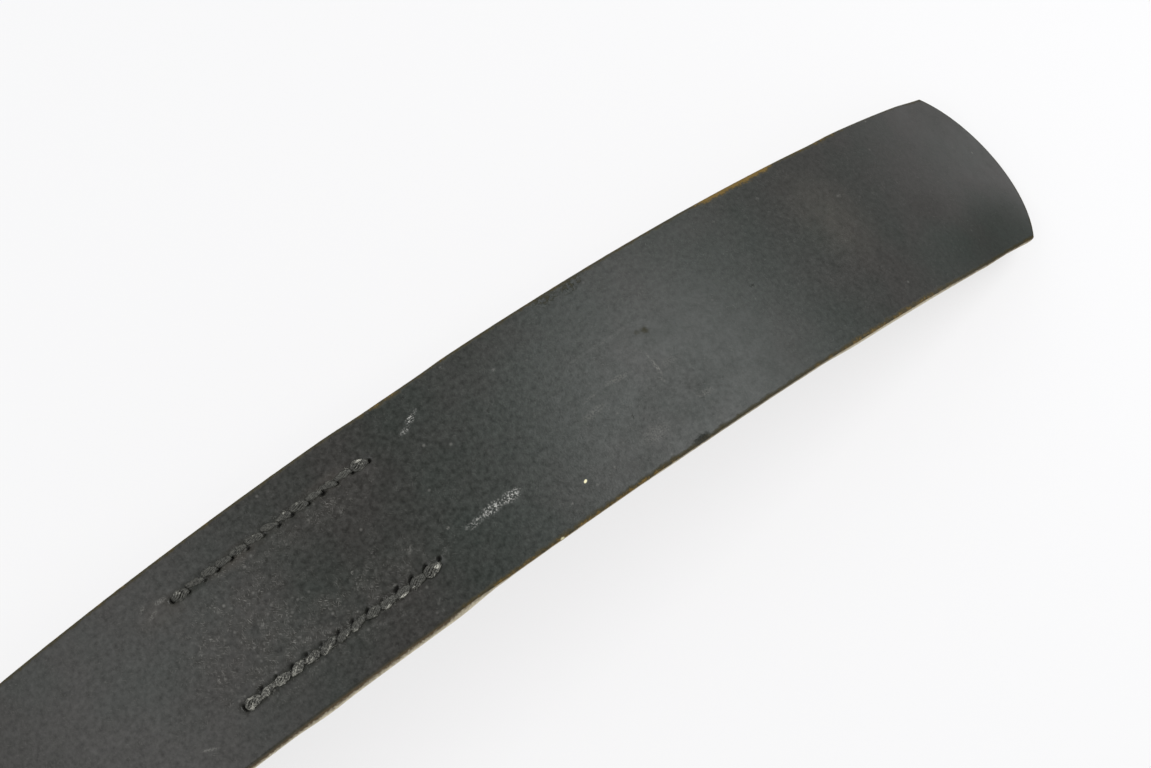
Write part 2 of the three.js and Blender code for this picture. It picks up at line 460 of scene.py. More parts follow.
@dataclass
class Blank:
    """A piece of leather laid flat: a grid of rows along and columns across, a face, a back and a cut edge.

    Each point also has an inset, which is its distance from the cut edge, a worn value, which is how far in
    from the edge the finish is rubbed off, a value for painted shade, which darkens holes with their depth,
    and a layer, which is 0 on the face, 1 in the cut edge and 2 on the back. The cut edge's waves are given
    by size and seed.
    """

    along: Array
    face_across: Array
    back_across: Array
    face_depth: Array
    back_depth: Array
    inset: Array
    worn: Array
    grime: Array
    edge_shares: tuple[float, ...] = (0.05, 0.35, 0.65, 0.95)
    edge_bulge: float = 0.12
    edge_roughness: float = 0.05
    edge_waves: tuple[Range, ...] = ((0.9, 7.0), (3.5, 9.0))
    holes: list[PunchedHole] = field(default_factory=list)

    def _build(self) -> None:
        """Make the closed surface, as lists of points, of their values and of faces."""
        size = self.along.size
        self.points = [
            np.column_stack((self.along.ravel(), across.ravel(), depth.ravel()))
            for across, depth in ((self.face_across, self.face_depth), (self.back_across, self.back_depth))
        ]
        values = np.column_stack((np.zeros(size), self.inset.ravel(), self.worn.ravel(), self.grime.ravel()))
        self.values = [values, values * (0, 1, 1, 0) + (2, 0, 0, 0)]
        self.count = 2 * size
        self.faces: list[tuple[int, ...]] = []
        self._add_surface(0)
        self._add_surface(size)
        self._add_edge()
        for hole in self.holes:
            self._add_hole(hole)

    def mesh(self, name: str, line: BeltLine) -> bpy.types.Mesh:
        """Bend the blank into the belt's shape.

        Args:
            name: the mesh's name.
            line: the belt's side view.

        Returns:
            A smooth closed mesh with the attributes flat, layer, inset and worn, and the painted hole shade,
            for the finish.
        """
        self._build()
        flat, values = np.vstack(self.points), np.vstack(self.values)
        mesh = closed_mesh(name, line.place(flat), self.faces)
        set_attribute(mesh, "flat", flat)
        for column, attribute in enumerate(("layer", "inset", "worn", "grime")):
            set_attribute(mesh, attribute, values[:, column])
        return mesh

    def _add_surface(self, first: int) -> None:
        """Add the quads of the face or the back, apart from the blocks that holes take.

        Args:
            first: the number of its first vertex.
        """
        rows, columns = self.along.shape
        open_cell = np.ones((rows - 1, columns - 1), bool)
        for hole in self.holes:
            open_cell[slice(*hole.rows), slice(*hole.columns)] = False
        row, column = np.nonzero(open_cell)
        corner = first + row * columns + column
        quads = np.column_stack((corner, corner + 1, corner + columns + 1, corner + columns))
        self.faces.extend(map(tuple, quads.tolist()))

    def _ring(self, rows: tuple[int, int], columns: tuple[int, int]) -> Array:
        """List the face's vertices round a block of cells, in order.

        Args:
            rows: the block's first and last row.
            columns: its first and last column.

        Returns:
            The vertices' numbers.
        """
        (top, bottom), (left, right) = rows, columns
        cells = [(top, column) for column in range(left, right)]
        cells += [(row, right) for row in range(top, bottom)]
        cells += [(bottom, column) for column in range(right, left, -1)]
        cells += [(row, left) for row in range(bottom, top, -1)]
        return np.array([row * self.along.shape[1] + column for row, column in cells])

    def _add_ring(self, last: Array, points: Array, values: Array) -> Array:
        """Add a ring of vertices, and the quads between it and the last one.

        Args:
            last: the last ring's vertices.
            points: the new ring's places.
            values: their values.

        Returns:
            The new vertices' numbers.
        """
        self.points.append(points)
        self.values.append(values)
        self.count += len(points)
        ring = np.arange(self.count - len(points), self.count)
        self._bridge(last, ring)
        return ring

    def _bridge(self, ring_a: Array, ring_b: Array) -> None:
        """Add the quads between two rings of vertices."""
        quads = np.column_stack((ring_a, np.roll(ring_a, -1), np.roll(ring_b, -1), ring_b))
        self.faces.extend(map(tuple, quads.tolist()))

    def _add_edge(self) -> None:
        """Add the cut edge: rings between the rims of the face and the back, bulged and rough."""
        rows, columns = self.along.shape
        rim = self._ring((0, rows - 1), (0, columns - 1))
        face, back, values = self.points[0][rim], self.points[1][rim], self.values[0][rim]
        ahead = np.roll(face, -1, axis=0) - np.roll(face, 1, axis=0)
        outward = np.column_stack((ahead[:, 1], -ahead[:, 0]))
        outward /= np.linalg.norm(outward, axis=1)[:, None]
        if outward[0, 0] > 0:
            outward = -outward
        last = rim
        for share in self.edge_shares:
            ring = face + (back - face) * share
            rough = sum(waves(face[:, 0], ring[:, 2], *wave) for wave in self.edge_waves)
            bulge = self.edge_bulge * math.sin(math.pi * share) + self.edge_roughness * rough
            ring[:, :2] += outward * bulge[:, None]
            last = self._add_ring(last, ring, values * (1, 0, 1, 0) + (1, 0, 0, 0))
        self._bridge(last, rim + self.along.size)

    def _add_hole(self, hole: PunchedHole) -> None:
        """Add a hole: rings from its block's rim to a rounded mouth on both sides, and its wall.

        Args:
            hole: the hole.
        """
        outer = self._ring(hole.rows, hole.columns)
        deepest = hole.mouth[-1][1]
        mouths = []
        for first, surface, inward in ((0, self.points[0], 1.0), (self.along.size, self.points[1], -1.0)):
            rim = surface[outer]
            angle = np.arctan2(rim[:, 1] - hole.across, rim[:, 0] - hole.along)
            last = outer + first
            for share, drop in hole.mouth:
                along = hole.along + hole.radius * share * np.cos(angle)
                across = hole.across + hole.radius * share * np.sin(angle)
                layer = 2.0 if first else min(1.0, drop / deepest)
                # A hole's painted shade grows as its mouth drops deeper.
                values = np.tile((layer, hole.inset, 0.0, drop), (len(outer), 1))
                points = np.column_stack((along, across, rim[:, 2] + inward * drop))
                last = self._add_ring(last, points, values)
            mouths.append(last)
        self._bridge(*mouths)


def closed_mesh(name: str, places: Array, faces: list[tuple[int, ...]]) -> bpy.types.Mesh:
    """Make a smooth mesh whose faces all look outward.

    Args:
        name: the mesh's name.
        places: the vertices in metres.
        faces: the faces' vertex numbers.

    Returns:
        The mesh.
    """
    mesh = bpy.data.meshes.new(name)
    mesh.from_pydata(places.tolist(), [], faces)
    editable = bmesh.new()
    editable.from_mesh(mesh)
    bmesh.ops.recalc_face_normals(editable, faces=editable.faces)
    editable.to_mesh(mesh)
    editable.free()
    mesh.shade_smooth()
    return mesh


def set_attribute(mesh: bpy.types.Mesh, name: str, values: Array) -> None:
    """Store a value or a vector for each vertex of a mesh."""
    kind, slot = ("FLOAT_VECTOR", "vector") if values.ndim == 2 else ("FLOAT", "value")
    mesh.attributes.new(name, kind, "POINT").data.foreach_set(slot, values.astype(np.float32).ravel())


def add_piece(mesh: bpy.types.Mesh, finish: Material, stands_for: str = "") -> None:
    """Put a piece into the scene under its mesh's name, and tie it to the belt's body.

    Args:
        mesh: its mesh, in place.
        finish: its material.
        stands_for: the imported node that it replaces, if any.
    """
    piece = bpy.data.objects.new(mesh.name, mesh)
    bpy.context.scene.collection.objects.link(piece)
    piece.data.materials.append(finish)
    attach(piece, ROOT)
    if stands_for:
        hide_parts(stands_for)
    log.info("%s: %d vertices, %d faces", mesh.name, len(mesh.vertices), len(mesh.polygons))


class Side(Enum):
    """The side of the leather that a seam's thread shows on."""

    OUTER = "outer"
    INNER = "inner"


@dataclass
class Seam:
    """One row of hand stitches in waxed linen thread: where its holes are, and how its thread lies.

    An awl hole's slit lies beside the thread, a little before the place where two stitches meet.
    """

    across: float
    begin: float
    end: float
    stitches: int
    seed: int
    proud: float
    hole_shift: float
    tilt_deg: float
    hole_lead: float = 0.0
    end_gap: float = 0.25
    jitter: float = 0.3
    wander: float = 0.16
    width: float = 1.9
    end_width: float = 2.5
    end_shift: float = 0.0
    end_rise: float = 0.1
    paleness: float = 0.24
    rubbed: float = 0.26
    groove_width: float = 1.3
    groove_depth: float = 0.3
    groove_reach: float = 0.62
    pull_depth: float = 0.12
    slit: Range = (0.78, 0.36)
    slit_depth: float = 0.9
    slit_turn_deg: float = -38.0
    slit_spread: Range = (0.62, 1.1)
    first_slit: float = 0.75
    end_turn_deg: float = 84.0
    worn: tuple[WornSpot, ...] = ()

    def __post_init__(self) -> None:
        """Place the awl holes."""
        chance = random.Random(self.seed)
        pitch = (self.end - self.begin) / self.stitches
        self.holes = [(self.begin, 0.0)]
        for number in range(1, self.stitches):
            along = self.begin + pitch * number + chance.uniform(-self.jitter, self.jitter)
            self.holes.append((along, chance.uniform(-self.wander, self.wander)))
        self.holes.append((self.end, 0.0))

    def slits(self) -> list[Dent]:
        """List the awl holes, as far as the thread leaves them open.

        Returns:
            A slit for each hole, the last one nearly square to the row.
        """
        chance = random.Random(self.seed)
        length, width = self.slit
        turn = self.slit_turn_deg
        first = (self.begin - self.end_gap, self.across + self.hole_shift)
        slits = [Dent(*first, self.first_slit * length, width, self.slit_depth, turn)]
        for along, shift in self.holes[1:-1]:
            share = chance.uniform(*self.slit_spread)
            place = (along - self.hole_lead, self.across + self.hole_shift + shift)
            slits.append(Dent(*place, length * share, width * share, self.slit_depth * share, turn))
        last = (self.end + self.end_gap, self.across + self.end_shift)
        slits.append(Dent(*last, length, width, self.slit_depth, self.end_turn_deg))
        return slits

    def grooves(self) -> list[Dent]:
        """List the hollows that the pulled thread has pressed into the leather.

        Returns:
            A small hollow for each hole, then a long one for each stitch.
        """
        size = (self.groove_width, self.groove_width, self.pull_depth)
        hollows = [Dent(along, self.across, *size) for along, _ in self.holes]
        for (begin, _), (end, _) in zip(self.holes, self.holes[1:]):
            reach = self.groove_reach * (end - begin)
            hollows.append(Dent((begin + end) / 2, self.across, reach, self.groove_width, self.groove_depth))
        return hollows


@dataclass
class Thread:
    """The thread of several seams, as one piece.

    Each stitch is a flat bundle of strands, pulled into its holes. The spreads are the ranges that a stitch's
    width, tilt, bulge and height, a strand's radius and a loose fibre's length and bow are drawn from. A
    fibre's turn is given as its mean and its standard deviation.
    """

    line: BeltLine
    strands: int = 9
    sides: int = 6
    steps: int = 15
    strand_radius: float = 0.26
    half_height: float = 0.24
    turns: float = 0.4
    dive: float = 0.38
    neck: float = 0.55
    width_spread: Range = (0.82, 1.12)
    tilt_spread: Range = (-7, 7)
    bulge_spread: Range = (0.8, 1.25)
    lift_spread: Range = (-0.05, 0.05)
    radius_spread: Range = (0.85, 1.1)
    lump: float = 0.12
    lumps: Range = (0.7, 1.7)
    fuzz: float = 0.05
    fuzz_mm: float = 0.6
    fibres: float = 5.0
    fibre_points: int = 5
    fibre_sides: int = 4
    fibre_radius: float = 0.035
    fibre_fray: float = 0.45
    fibre_turn_deg: Range = (15.0, 35.0)
    fibre_scatter: float = 0.6
    length_spread: Range = (0.5, 1.3)
    bow_spread: Range = (-0.18, 0.18)

    def __post_init__(self) -> None:
        """Start with no stitches."""
        self.points: list[Array] = []
        self.fray: list[Array] = []
        self.faces: list[tuple[int, ...]] = []
        self.count = 0

    def _tube(self, path: Array, radius: float, fray: Array, sides: int) -> None:
        """Add a tube along a path in flat coordinates, with closed ends.

        Args:
            path: rows of along, across and depth.
            radius: the tube's radius.
            fray: how pale the thread is at each row.
            sides: how many sides the tube has.
        """
        ahead = np.gradient(path, axis=0)
        ahead /= np.linalg.norm(ahead, axis=1)[:, None]
        side = np.cross(ahead, np.array([0.0, 0.0, 1.0]))
        side /= np.maximum(np.linalg.norm(side, axis=1), 1e-6)[:, None]
        up = np.cross(side, ahead)
        angles = np.linspace(0, 2 * math.pi, sides, endpoint=False)[None, :, None]
        section = side[:, None, :] * np.cos(angles) + up[:, None, :] * np.sin(angles)
        first = self.count
        self.points.append((path[:, None, :] + section * radius).reshape(-1, 3))
        self.fray.append(np.repeat(fray, sides))
        self.count += len(path) * sides
        for ring in range(first, self.count - sides, sides):
            for n in range(sides):
                a, b = ring + n, ring + (n + 1) % sides
                self.faces.append((a, b, b + sides, a + sides))
        self.faces.append(tuple(range(first, first + sides))[::-1])
        self.faces.append(tuple(range(self.count - sides, self.count)))

    def add_seam(self, seam: Seam, side: Side, surface_depth: float = 0.0) -> None:
        """Add the stitches of a seam on one side of the leather.

        Args:
            seam: the seam.
            side: the side that the thread is seen from.
            surface_depth: how deep that side lies under the strap's outer face.
        """
        inner_seeds = 100
        chance = random.Random(seam.seed + inner_seeds * (side is Side.INNER))
        out = -1.0 if side is Side.OUTER else 1.0
        t = np.linspace(0, 1, self.steps)
        for number in range(seam.stitches):
            is_end = number in (0, seam.stitches - 1)
            begin, end = seam.holes[number][0], seam.holes[number + 1][0]
            width = seam.end_width if is_end else seam.width * chance.uniform(*self.width_spread)
            shift = seam.end_shift if is_end else chance.uniform(-seam.wander, seam.wander)
            slant = math.tan(math.radians(seam.tilt_deg + chance.uniform(*self.tilt_spread))) * (end - begin)
            thin = np.abs(2 * t ** chance.uniform(*self.bulge_spread) - 1)
            lift = seam.proud + chance.uniform(*self.lift_spread) + (seam.end_rise if is_end else 0.0)
            lift = lift - self.dive * thin**6
            lumpy = 2 * math.pi * (chance.uniform(*self.lumps) * t + chance.random())
            half = width / 2 * (1 + self.lump * np.sin(lumpy)) * (1 - thin**2.6) ** 0.5
            reach = np.maximum(half, self.neck) - self.strand_radius
            start = chance.uniform(0, 2 * math.pi)
            for strand in range(self.strands):
                angle = start + 2 * math.pi * (strand / self.strands + self.turns * t)
                along = begin + (end - begin) * t
                offset = shift + slant * (t - 0.5) + reach * np.cos(angle)
                across = seam.across + offset
                depth = surface_depth + out * (lift + self.half_height * np.sin(angle))
                pale = np.full(self.steps, chance.uniform(0.0, seam.paleness))
                pale += sum(spot.at(along, across) for spot in seam.worn)
                outward = math.copysign(2 / width, seam.across) * (offset - shift)
                pale += seam.rubbed * np.clip(outward, 0.0, 1.0) ** 2
                radius = self.strand_radius * chance.uniform(*self.radius_spread)
                self._tube(np.column_stack((along, across, depth)), radius, pale, self.sides)
        if side is Side.OUTER:
            for spot in seam.worn:
                self._add_fibres(seam, spot, chance)

    def _add_fibres(self, seam: Seam, spot: WornSpot, chance: random.Random) -> None:
        """Add loose linen fibres that lie over a worn spot.

        Args:
            seam: the seam.
            spot: the worn spot.
            chance: the seam's random numbers.
        """
        t = np.linspace(0, 1, self.fibre_points)
        top = seam.proud + self.strand_radius + self.fibre_radius
        fray = np.full(self.fibre_points, self.fibre_fray)
        for _ in range(round(self.fibres * spot.amount)):
            turn = math.radians(chance.gauss(*self.fibre_turn_deg))
            run = chance.uniform(*self.length_spread) * (t - 0.5)
            bow = chance.uniform(*self.bow_spread) * np.sin(math.pi * t)
            middle = spot.along + chance.gauss(0.0, self.fibre_scatter * spot.half_length)
            line = spot.across + chance.gauss(0.0, self.fibre_scatter * spot.half_width)
            along = middle + run * math.cos(turn) - bow * math.sin(turn)
            across = line + run * math.sin(turn) + bow * math.cos(turn)
            offset = np.clip(2 * (across - seam.across) / seam.width, -0.9, 0.9)
            depth = -(top + self.half_height * np.sqrt(1 - offset**2))
            self._tube(np.column_stack((along, across, depth)), self.fibre_radius, fray, self.fibre_sides)

    def build(self, name: str, finish: Material) -> None:
        """Make the piece, with the attributes fray and flat for the finish.

        Args:
            name: its name.
            finish: its material.
        """
        flat = np.vstack(self.points)
        places = (flat[:, 0], flat[:, 1] + flat[:, 2])
        flat = flat + self.fuzz * np.column_stack([waves(*places, self.fuzz_mm, s) for s in (3.0, 5.0, 8.0)])
        mesh = closed_mesh(name, self.line.place(flat), self.faces)
        set_attribute(mesh, "fray", np.concatenate(self.fray))
        set_attribute(mesh, "flat", flat)
        add_piece(mesh, finish)


class Finish:
    """A finish that is made of nodes."""

    def look(self, tree: Tree) -> Inputs:
        """Draw the finish, and give its shader's inputs."""
        raise NotImplementedError

    def material(self, name: str) -> Material:
        """Make the node material.

        Args:
            name: the material's name.

        Returns:
            The material.
        """
        material = bpy.data.materials.new(name)
        material.use_nodes = True
        tree = material.node_tree
        tree.nodes.clear()
        shader = add_node(tree, "BsdfPrincipled", self.look(tree))
        add_node(tree, "OutputMaterial", {"Surface": shader})
        return material


@dataclass
class Ground:
    """What the steps of the black leather's finish share.

    These are the nodes, the flat coordinates, the leather's own attributes with the painted shade of its
    holes, the noises over it, and where its grain stands out.
    """

    tree: Tree
    flat: Socket
    layer: Socket
    inset: Socket
    worn: Socket
    grime: Socket
    blotch: Node
    cloud: Node
    ragged: Node
    mottle: Node
    rough: Node
    fibre: Node
    crease: Node
    fine: Node
    grained: Node


@dataclass(frozen=True)
class BridleLeather(Finish):
    """Vegetable-tanned cowhide, dyed black on its smooth grain side, with raw cut edges and an undyed back.

    To the eye: satin, with a fine grain and a broad soft sheen, a greenish grey where it is clean and a
    brownish one where it is dusty. Its rims are rubbed brown, its cut edges are fibrous and cream to tan,
    paler low down partly from painted light bounced up from the table, and the back is matt. The mottling
    and the polish swing by the first of their two ranges where the grain is smooth and by the second where
    it stands out. The polish itself runs from the clean face to a dull area.
    """

    face_shades: Stops = ((0.2, "#1c221d"), (0.56, "#252421"))
    rim_shades: Stops = ((0.45, "#35301c"), (0.85, "#68521f"))
    # The cut edge's ramp, dark tan to cream, is its own colour and painted light bounced up from the table.
    edge_colour_and_bounce: Stops = ((0.2, "#4a3d27"), (0.75, "#d2c9b0"))
    back_shades: Stops = ((0.36, "#513a27"), (0.62, "#84664a"))
    dust_and_sheen: str = "#544d45"
    chalk: str = "#cfcfca"
    scuff: str = "#8d8c87"
    fleck: str = "#e3ddb4"
    # The colour of the painted shade in the awl holes.
    grime: str = "#0b0a08"
    pit: str = "#17160f"
    sore_brown: str = "#2e2b19"
    # Each noise's size in millimetres, its detail and its roughness. Leather's fibres and the fine breaks
    # in a mark are less than 0.1 mm across: they are drawn as coarse as they need to be to show.
    noises: tuple[tuple[str, float, float, float], ...] = (
        ("blotch", 24.0, 3.0, 0.55),
        ("cloud", 3.5, 4.0, 0.6),
        ("ragged", 2.2, 5.0, 0.7),
        ("mottle", 1.15, 2.0, 0.6),
        ("rough", 0.8, 3.0, 0.6),
        ("fibre", 0.6, 5.0, 0.7),
        ("crease", 0.6, 4.0, 0.65),
        ("fine", 0.34, 2.0, 0.6),
    )
    # The way that each set of fine strokes runs, their length and width, and how rare they are.
    strokes: tuple[tuple[float, Range, float], ...] = (
        (38.0, (1.0, 0.22), 0.61),
        (-52.0, (0.9, 0.22), 0.62),
        (85.0, (1.2, 0.2), 0.63),
    )
    speck_mm: float = 1.3
    grain_mm: float = 0.5
    grain_height_mm: float = 0.02
    ragged_mm: float = 1.8
    mottle_range: Range = (0.75, 1.35)
    polish_range: Range = (0.55, 1.7)
    roughness: Range = (0.35, 0.45)
    polish: Range = (0.5, 0.1)
    raw_roughness: float = 0.8
    mark_roughness: float = 0.85
    grime_roughness: float = 0.9
    pit_height: float = -7.0
    wear_offset: float = -1.75
    wear_shares: tuple[tuple[str, float], ...] = (
        ("worn", 1.1), ("fibre", 1.7), ("ragged", 1.4), ("inset", -0.6)
    )
    cool_areas: Marks = rows_of(
        Mark, (132, -8, 84, 60, 0, 1, 0.6), (24, -19, 44, 17, 0, 1, 0.6), (213, -1, 17, 12, 0, 0.6)
    )
    stitch_areas: Marks = rows_of(Mark, (219, -9, 36, 10), (233, 0, 19, 15), (214, 11, 26, 6))
    grained_areas: Marks = rows_of(Mark, (210, 0, 155, 90, 0, 0.95, 1), (138, -13, 40, 22, 0, 0.75))
    dull_areas: Marks = rows_of(
        Mark,
        (20, -20, 36, 21, 0, 0.85), (40, -5, 11, 8, 0, 0.3), (6, 18, 18, 16, 0, 0.4),
        (133, -13, 20, 12, 0, 0.25), (147, -19, 13, 7, 0, 0.2), (106, -18, 12, 7, 0, 0.13),
        (158, 20, 17, 8, 0, 0.16), (-2, 0, 16, 24, 0, 0.32, 1), (213, 0, 15, 11, 0, 0.17),
        (240, -6, 19, 12, 0, 0.17), (233, -18, 28, 7, 0, 0.16),
    )
    # Dust in hazes by the upper stitches; the broad first haze, near 70 mm, is a painted sheen.
    dust_and_sheen_hazes: Marks = rows_of(
        Mark,
        (70.5, 4.5, 14, 19, -14, 0.2, 1), (226, 13.2, 10, 2.6, 0, 0.16, 0.7), (203, 14.4, 9, 2.6, 0, 0.13),
        (244, 13, 9, 5, 0, 0.12, 0.9),
    )
    chalk_marks: Marks = rows_of(
        Mark,
        (174.6, -9.4, 3.1, 1.5, 0, 0.8), (179.2, -9.3, 3.8, 1.5, -3, 0.72),
        (183.6, -9.7, 3, 1.1, -4, 0.45), (181.9, 15.4, 1.7, 1, -25, 0.68),
        (184.2, 14, 1.9, 0.8, -12, 0.34), (180.3, 16.1, 1.3, 0.45, -30, 0.4),
    )
    flecks: Marks = rows_of(
        Mark, (160.2, -15.6, 0.55, 0.35, -28, 1, 0.45), (171, -22.55, 0.65, 0.45, 8, 0.8, 0.6)
    )
    scratches: Marks = rows_of(
        Mark,
        (132.5, -3.9, 2.7, 0.65, 90, 0.6), (132.5, -1, 1.4, 0.4, 90, 0.3), (133.2, -6.9, 1.5, 0.4, 65, 0.3),
        (141.2, -1.6, 4.6, 0.9, 5, 0.32), (149, -1.9, 3.6, 0.5, -6, 0.2), (140, 6.6, 14, 0.8, -1, 0.09),
        (126.8, -14.2, 3.4, 1.1, 6, 0.34), (150, -4.8, 4.6, 1.3, -5, 0.3), (129, -4.4, 4, 1.4, 0, 0.16),
        (141.5, -15.5, 5, 2.6, 0, 0.26), (64, 8.2, 1.1, 0.7, 0, 0.3), (54, 4.5, 1.9, 1.4, 0, 0.14),
        (84.6, 16.6, 0.7, 0.5, 0, 0.3), (98.6, 16.8, 0.6, 0.5, 0, 0.3), (146, -7.6, 0.7, 0.6, 0, 0.3),
        (170.4, 20.9, 0.6, 0.5, 0, 0.35), (161.7, 14.3, 0.6, 0.5, 0, 0.35), (165.2, -17.8, 0.5, 0.45, 0, 0.5),
        (153.4, -16.6, 0.4, 0.6, 0, 0.4), (188.6, -7.4, 0.6, 0.5, 0, 0.5), (182.7, 9.3, 0.55, 0.45, 0, 0.4),
        (197.4, -6.6, 1.5, 0.9, -35, 0.4), (209.1, -3.5, 0.5, 0.45), (203.6, -2.6, 0.4, 0.4, 0, 0.8),
        (252.2, -14.8, 2.6, 0.5, 24, 0.6), (243.6, 15.1, 2, 0.7, 8, 0.6), (246.4, 13.6, 1.8, 0.6, -20, 0.45),
        (247.6, 15.9, 1.4, 0.6, -35, 0.4),
    )
    sores: Marks = rows_of(Mark, (129.4, 4, 1.4, 1.3, 20, 0.8, 1), (131, 4.4, 1.3, 0.7, 10, 0.4))
    chips: Marks = rows_of(
        Mark,
        (134, -22.4, 3, 1.7, 0, 0.8, 0.7), (101.1, 0, 0.9, 0.4, 0, 0.5), (143.5, -10.1, 0.7, 0.35, 90, 0.3),
        (167.8, 7.8, 0.7, 0.6, 0, 0.35), (176.7, 0.8, 0.5, 0.4, 0, 0.4),
    )
    crackles: Marks = rows_of(Mark, (136.6, 21.4, 4.4, 2.4, -6, 0.8), (143.6, 21.2, 4.2, 2, 4, 0.7))

    def look(self, tree: Tree) -> Inputs:
        """Draw the dyed face and what lies on it, then the rubbed rim, the cut edge and the back over it.

        Args:
            tree: the material's nodes.

        Returns:
            The shader's inputs.
        """
        ground = self._ground(tree)
        colour, matt = self._dust_and_sheen(ground, self._face_colour(ground))
        colour, matt, pits = self._marks(ground, colour, matt)
        rim, wall, back, wear = self._raw_masks(ground)
        # A chip's pit keeps its own colour where it reaches the rim.
        kept = add_node(tree, "Math", (pits, -0.9, 1.0), operation="MULTIPLY_ADD")
        rim = add_node(tree, "Math", (rim, kept), operation="MULTIPLY")
        # The cut edge is darker under the face than deep down, and less so where the rim is worn. Its paler
        # lower part is partly its own colour and partly painted light bounced up from the table.
        depth = add_node(tree, "SeparateXYZ", (ground.flat,)).outputs["Z"]
        top = add_node(tree, "Math", (ground.worn, 1.05, -0.98), operation="MULTIPLY_ADD")
        depth_and_bounce = add_node(tree, "MapRange", (depth, 0.2, 2.8, top, 0.38))
        edge_tint_and_bounce = add_node(tree, "Math", (ground.fibre, depth_and_bounce), operation="ADD")
        nap = add_node(tree, "Math", (ground.fibre, 0.6), operation="MULTIPLY")
        nap = add_node(tree, "Math", (ground.cloud, 0.4, nap), operation="MULTIPLY_ADD")
        raw = ((rim, wear, self.rim_shades), (wall, edge_tint_and_bounce, self.edge_colour_and_bounce), (back, nap, self.back_shades))
        for mask, factor, shades in raw:
            shade = add_node(tree, "ValToRGB", (factor,), shades)
            colour = add_node(tree, "Mix", (mask, colour, shade), data_type="RGBA")
            matt = add_node(tree, "Mix", (mask, matt, self.raw_roughness))
        faced = add_node(tree, "Math", (1.0, wall), operation="SUBTRACT")
        flecked = joined(tree, ground.flat, self.flecks, faced)
        dull = joined(tree, ground.flat, self.dull_areas)
        polish = add_node(tree, "MapRange", (dull, 0.0, 1.0, *self.polish))
        uneven = self._swing(ground, self.polish_range)
        return {
            "Base Color": add_node(tree, "Mix", (flecked, colour, srgb(self.fleck)), data_type="RGBA"),
            "Roughness": matt,
            "IOR": 1.4,
            "Specular IOR Level": add_node(tree, "Math", (polish, uneven), operation="MULTIPLY"),
            "Normal": self._bump(ground, rim, pits),
        }

    def _ground(self, tree: Tree) -> Ground:
        """Make what the steps share.

        Args:
            tree: the material's nodes.

        Returns:
            The nodes.
        """
        flat = add_node(tree, "Attribute", attribute_name="flat").outputs["Vector"]
        parts = {}
        for name in ("layer", "inset", "worn", "grime"):
            parts[name] = add_node(tree, "Attribute", attribute_name=name).outputs["Fac"]
        for name, size, detail, roughness in self.noises:
            parts[name] = add_node(tree, "TexNoise", (flat, 1 / size, detail, roughness))
        return Ground(tree, flat, **parts, grained=joined(tree, flat, self.grained_areas))

    def _swing(self, ground: Ground, span: Range) -> Node:
        """Make a factor that swings round 1 with the mottling, more so where the grain stands out.

        Args:
            ground: what the steps share.
            span: how far it swings where the grain is smooth, and where it stands out.

        Returns:
            The factor.
        """
        swing = add_node(ground.tree, "MapRange", (ground.grained, 0.0, 1.0, *span))
        offset = add_node(ground.tree, "Math", (ground.mottle, 0.5), operation="SUBTRACT")
        light = add_node(ground.tree, "Math", (offset, swing, 1.0), operation="MULTIPLY_ADD")
        return add_node(ground.tree, "Math", (light, 0.1), operation="MAXIMUM")

    def _face_colour(self, ground: Ground) -> Node:
        """Colour the grain side: black dye, cool or warm in blotches, finely mottled.

        Args:
            ground: what the steps share.

        Returns:
            The colour.
        """
        cool = joined(ground.tree, ground.flat, self.cool_areas)
        warmth = add_node(ground.tree, "Math", (cool, -0.28, ground.blotch), operation="MULTIPLY_ADD")
        base = add_node(ground.tree, "ValToRGB", (warmth,), self.face_shades)
        light = self._swing(ground, self.mottle_range)
        return add_node(ground.tree, "VectorMath", (base, light), operation="MULTIPLY")

    def _streaks(self, ground: Ground, turn_deg: float, size: Range, rare: float) -> Node:
        """Make sparse short streaks that run one way.

        Args:
            ground: what the steps share.
            turn_deg: the way they run, from the belt's length.
            size: their length and width in millimetres.
            rare: the noise level that they begin at.

        Returns:
            Their mask.
        """
        placed = (ground.flat, (0.0, 0.0, 0.0), (0.0, 0.0, math.radians(turn_deg)), (*size, 1.0))
        local = add_node(ground.tree, "Mapping", placed, vector_type="TEXTURE")
        strokes = {"Vector": local, "Scale": 1.0, "Detail": 2.0, "Roughness": 0.6, "Distortion": 0.3}
        strokes = add_node(ground.tree, "TexNoise", strokes)
        return add_node(ground.tree, "MapRange", (strokes, rare, rare + 0.08))

    def _dust_and_sheen(self, ground: Ground, colour: Node) -> tuple[Node, Node]:
        """Lay dust round the stitches and a painted sheen haze, and fine scuffs and pale specks densest
        there.

        Args:
            ground: what the steps share.
            colour: the face's colour.

        Returns:
            The new colour, and the roughness.
        """
        tree, cloud = ground.tree, ground.cloud
        # Dust lies in patches round the stitches, and in hazes elsewhere; the broad haze near 70 mm is a
        # painted sheen.
        near = joined(tree, ground.flat, self.stitch_areas)
        patches = add_node(tree, "MapRange", (cloud, 0.35, 0.7, 0.0, 0.1))
        dust_and_sheen = add_node(tree, "Math", (near, patches), operation="MULTIPLY")
        soft = add_node(tree, "MapRange", (cloud, 0.3, 0.6, 0.65, 1.1))
        dust_and_sheen_haze = joined(tree, ground.flat, self.dust_and_sheen_hazes, soft)
        dust_and_sheen = add_node(tree, "Math", (dust_and_sheen, dust_and_sheen_haze), operation="ADD")
        colour = add_node(tree, "Mix", (dust_and_sheen, colour, srgb(self.dust_and_sheen)), data_type="RGBA")

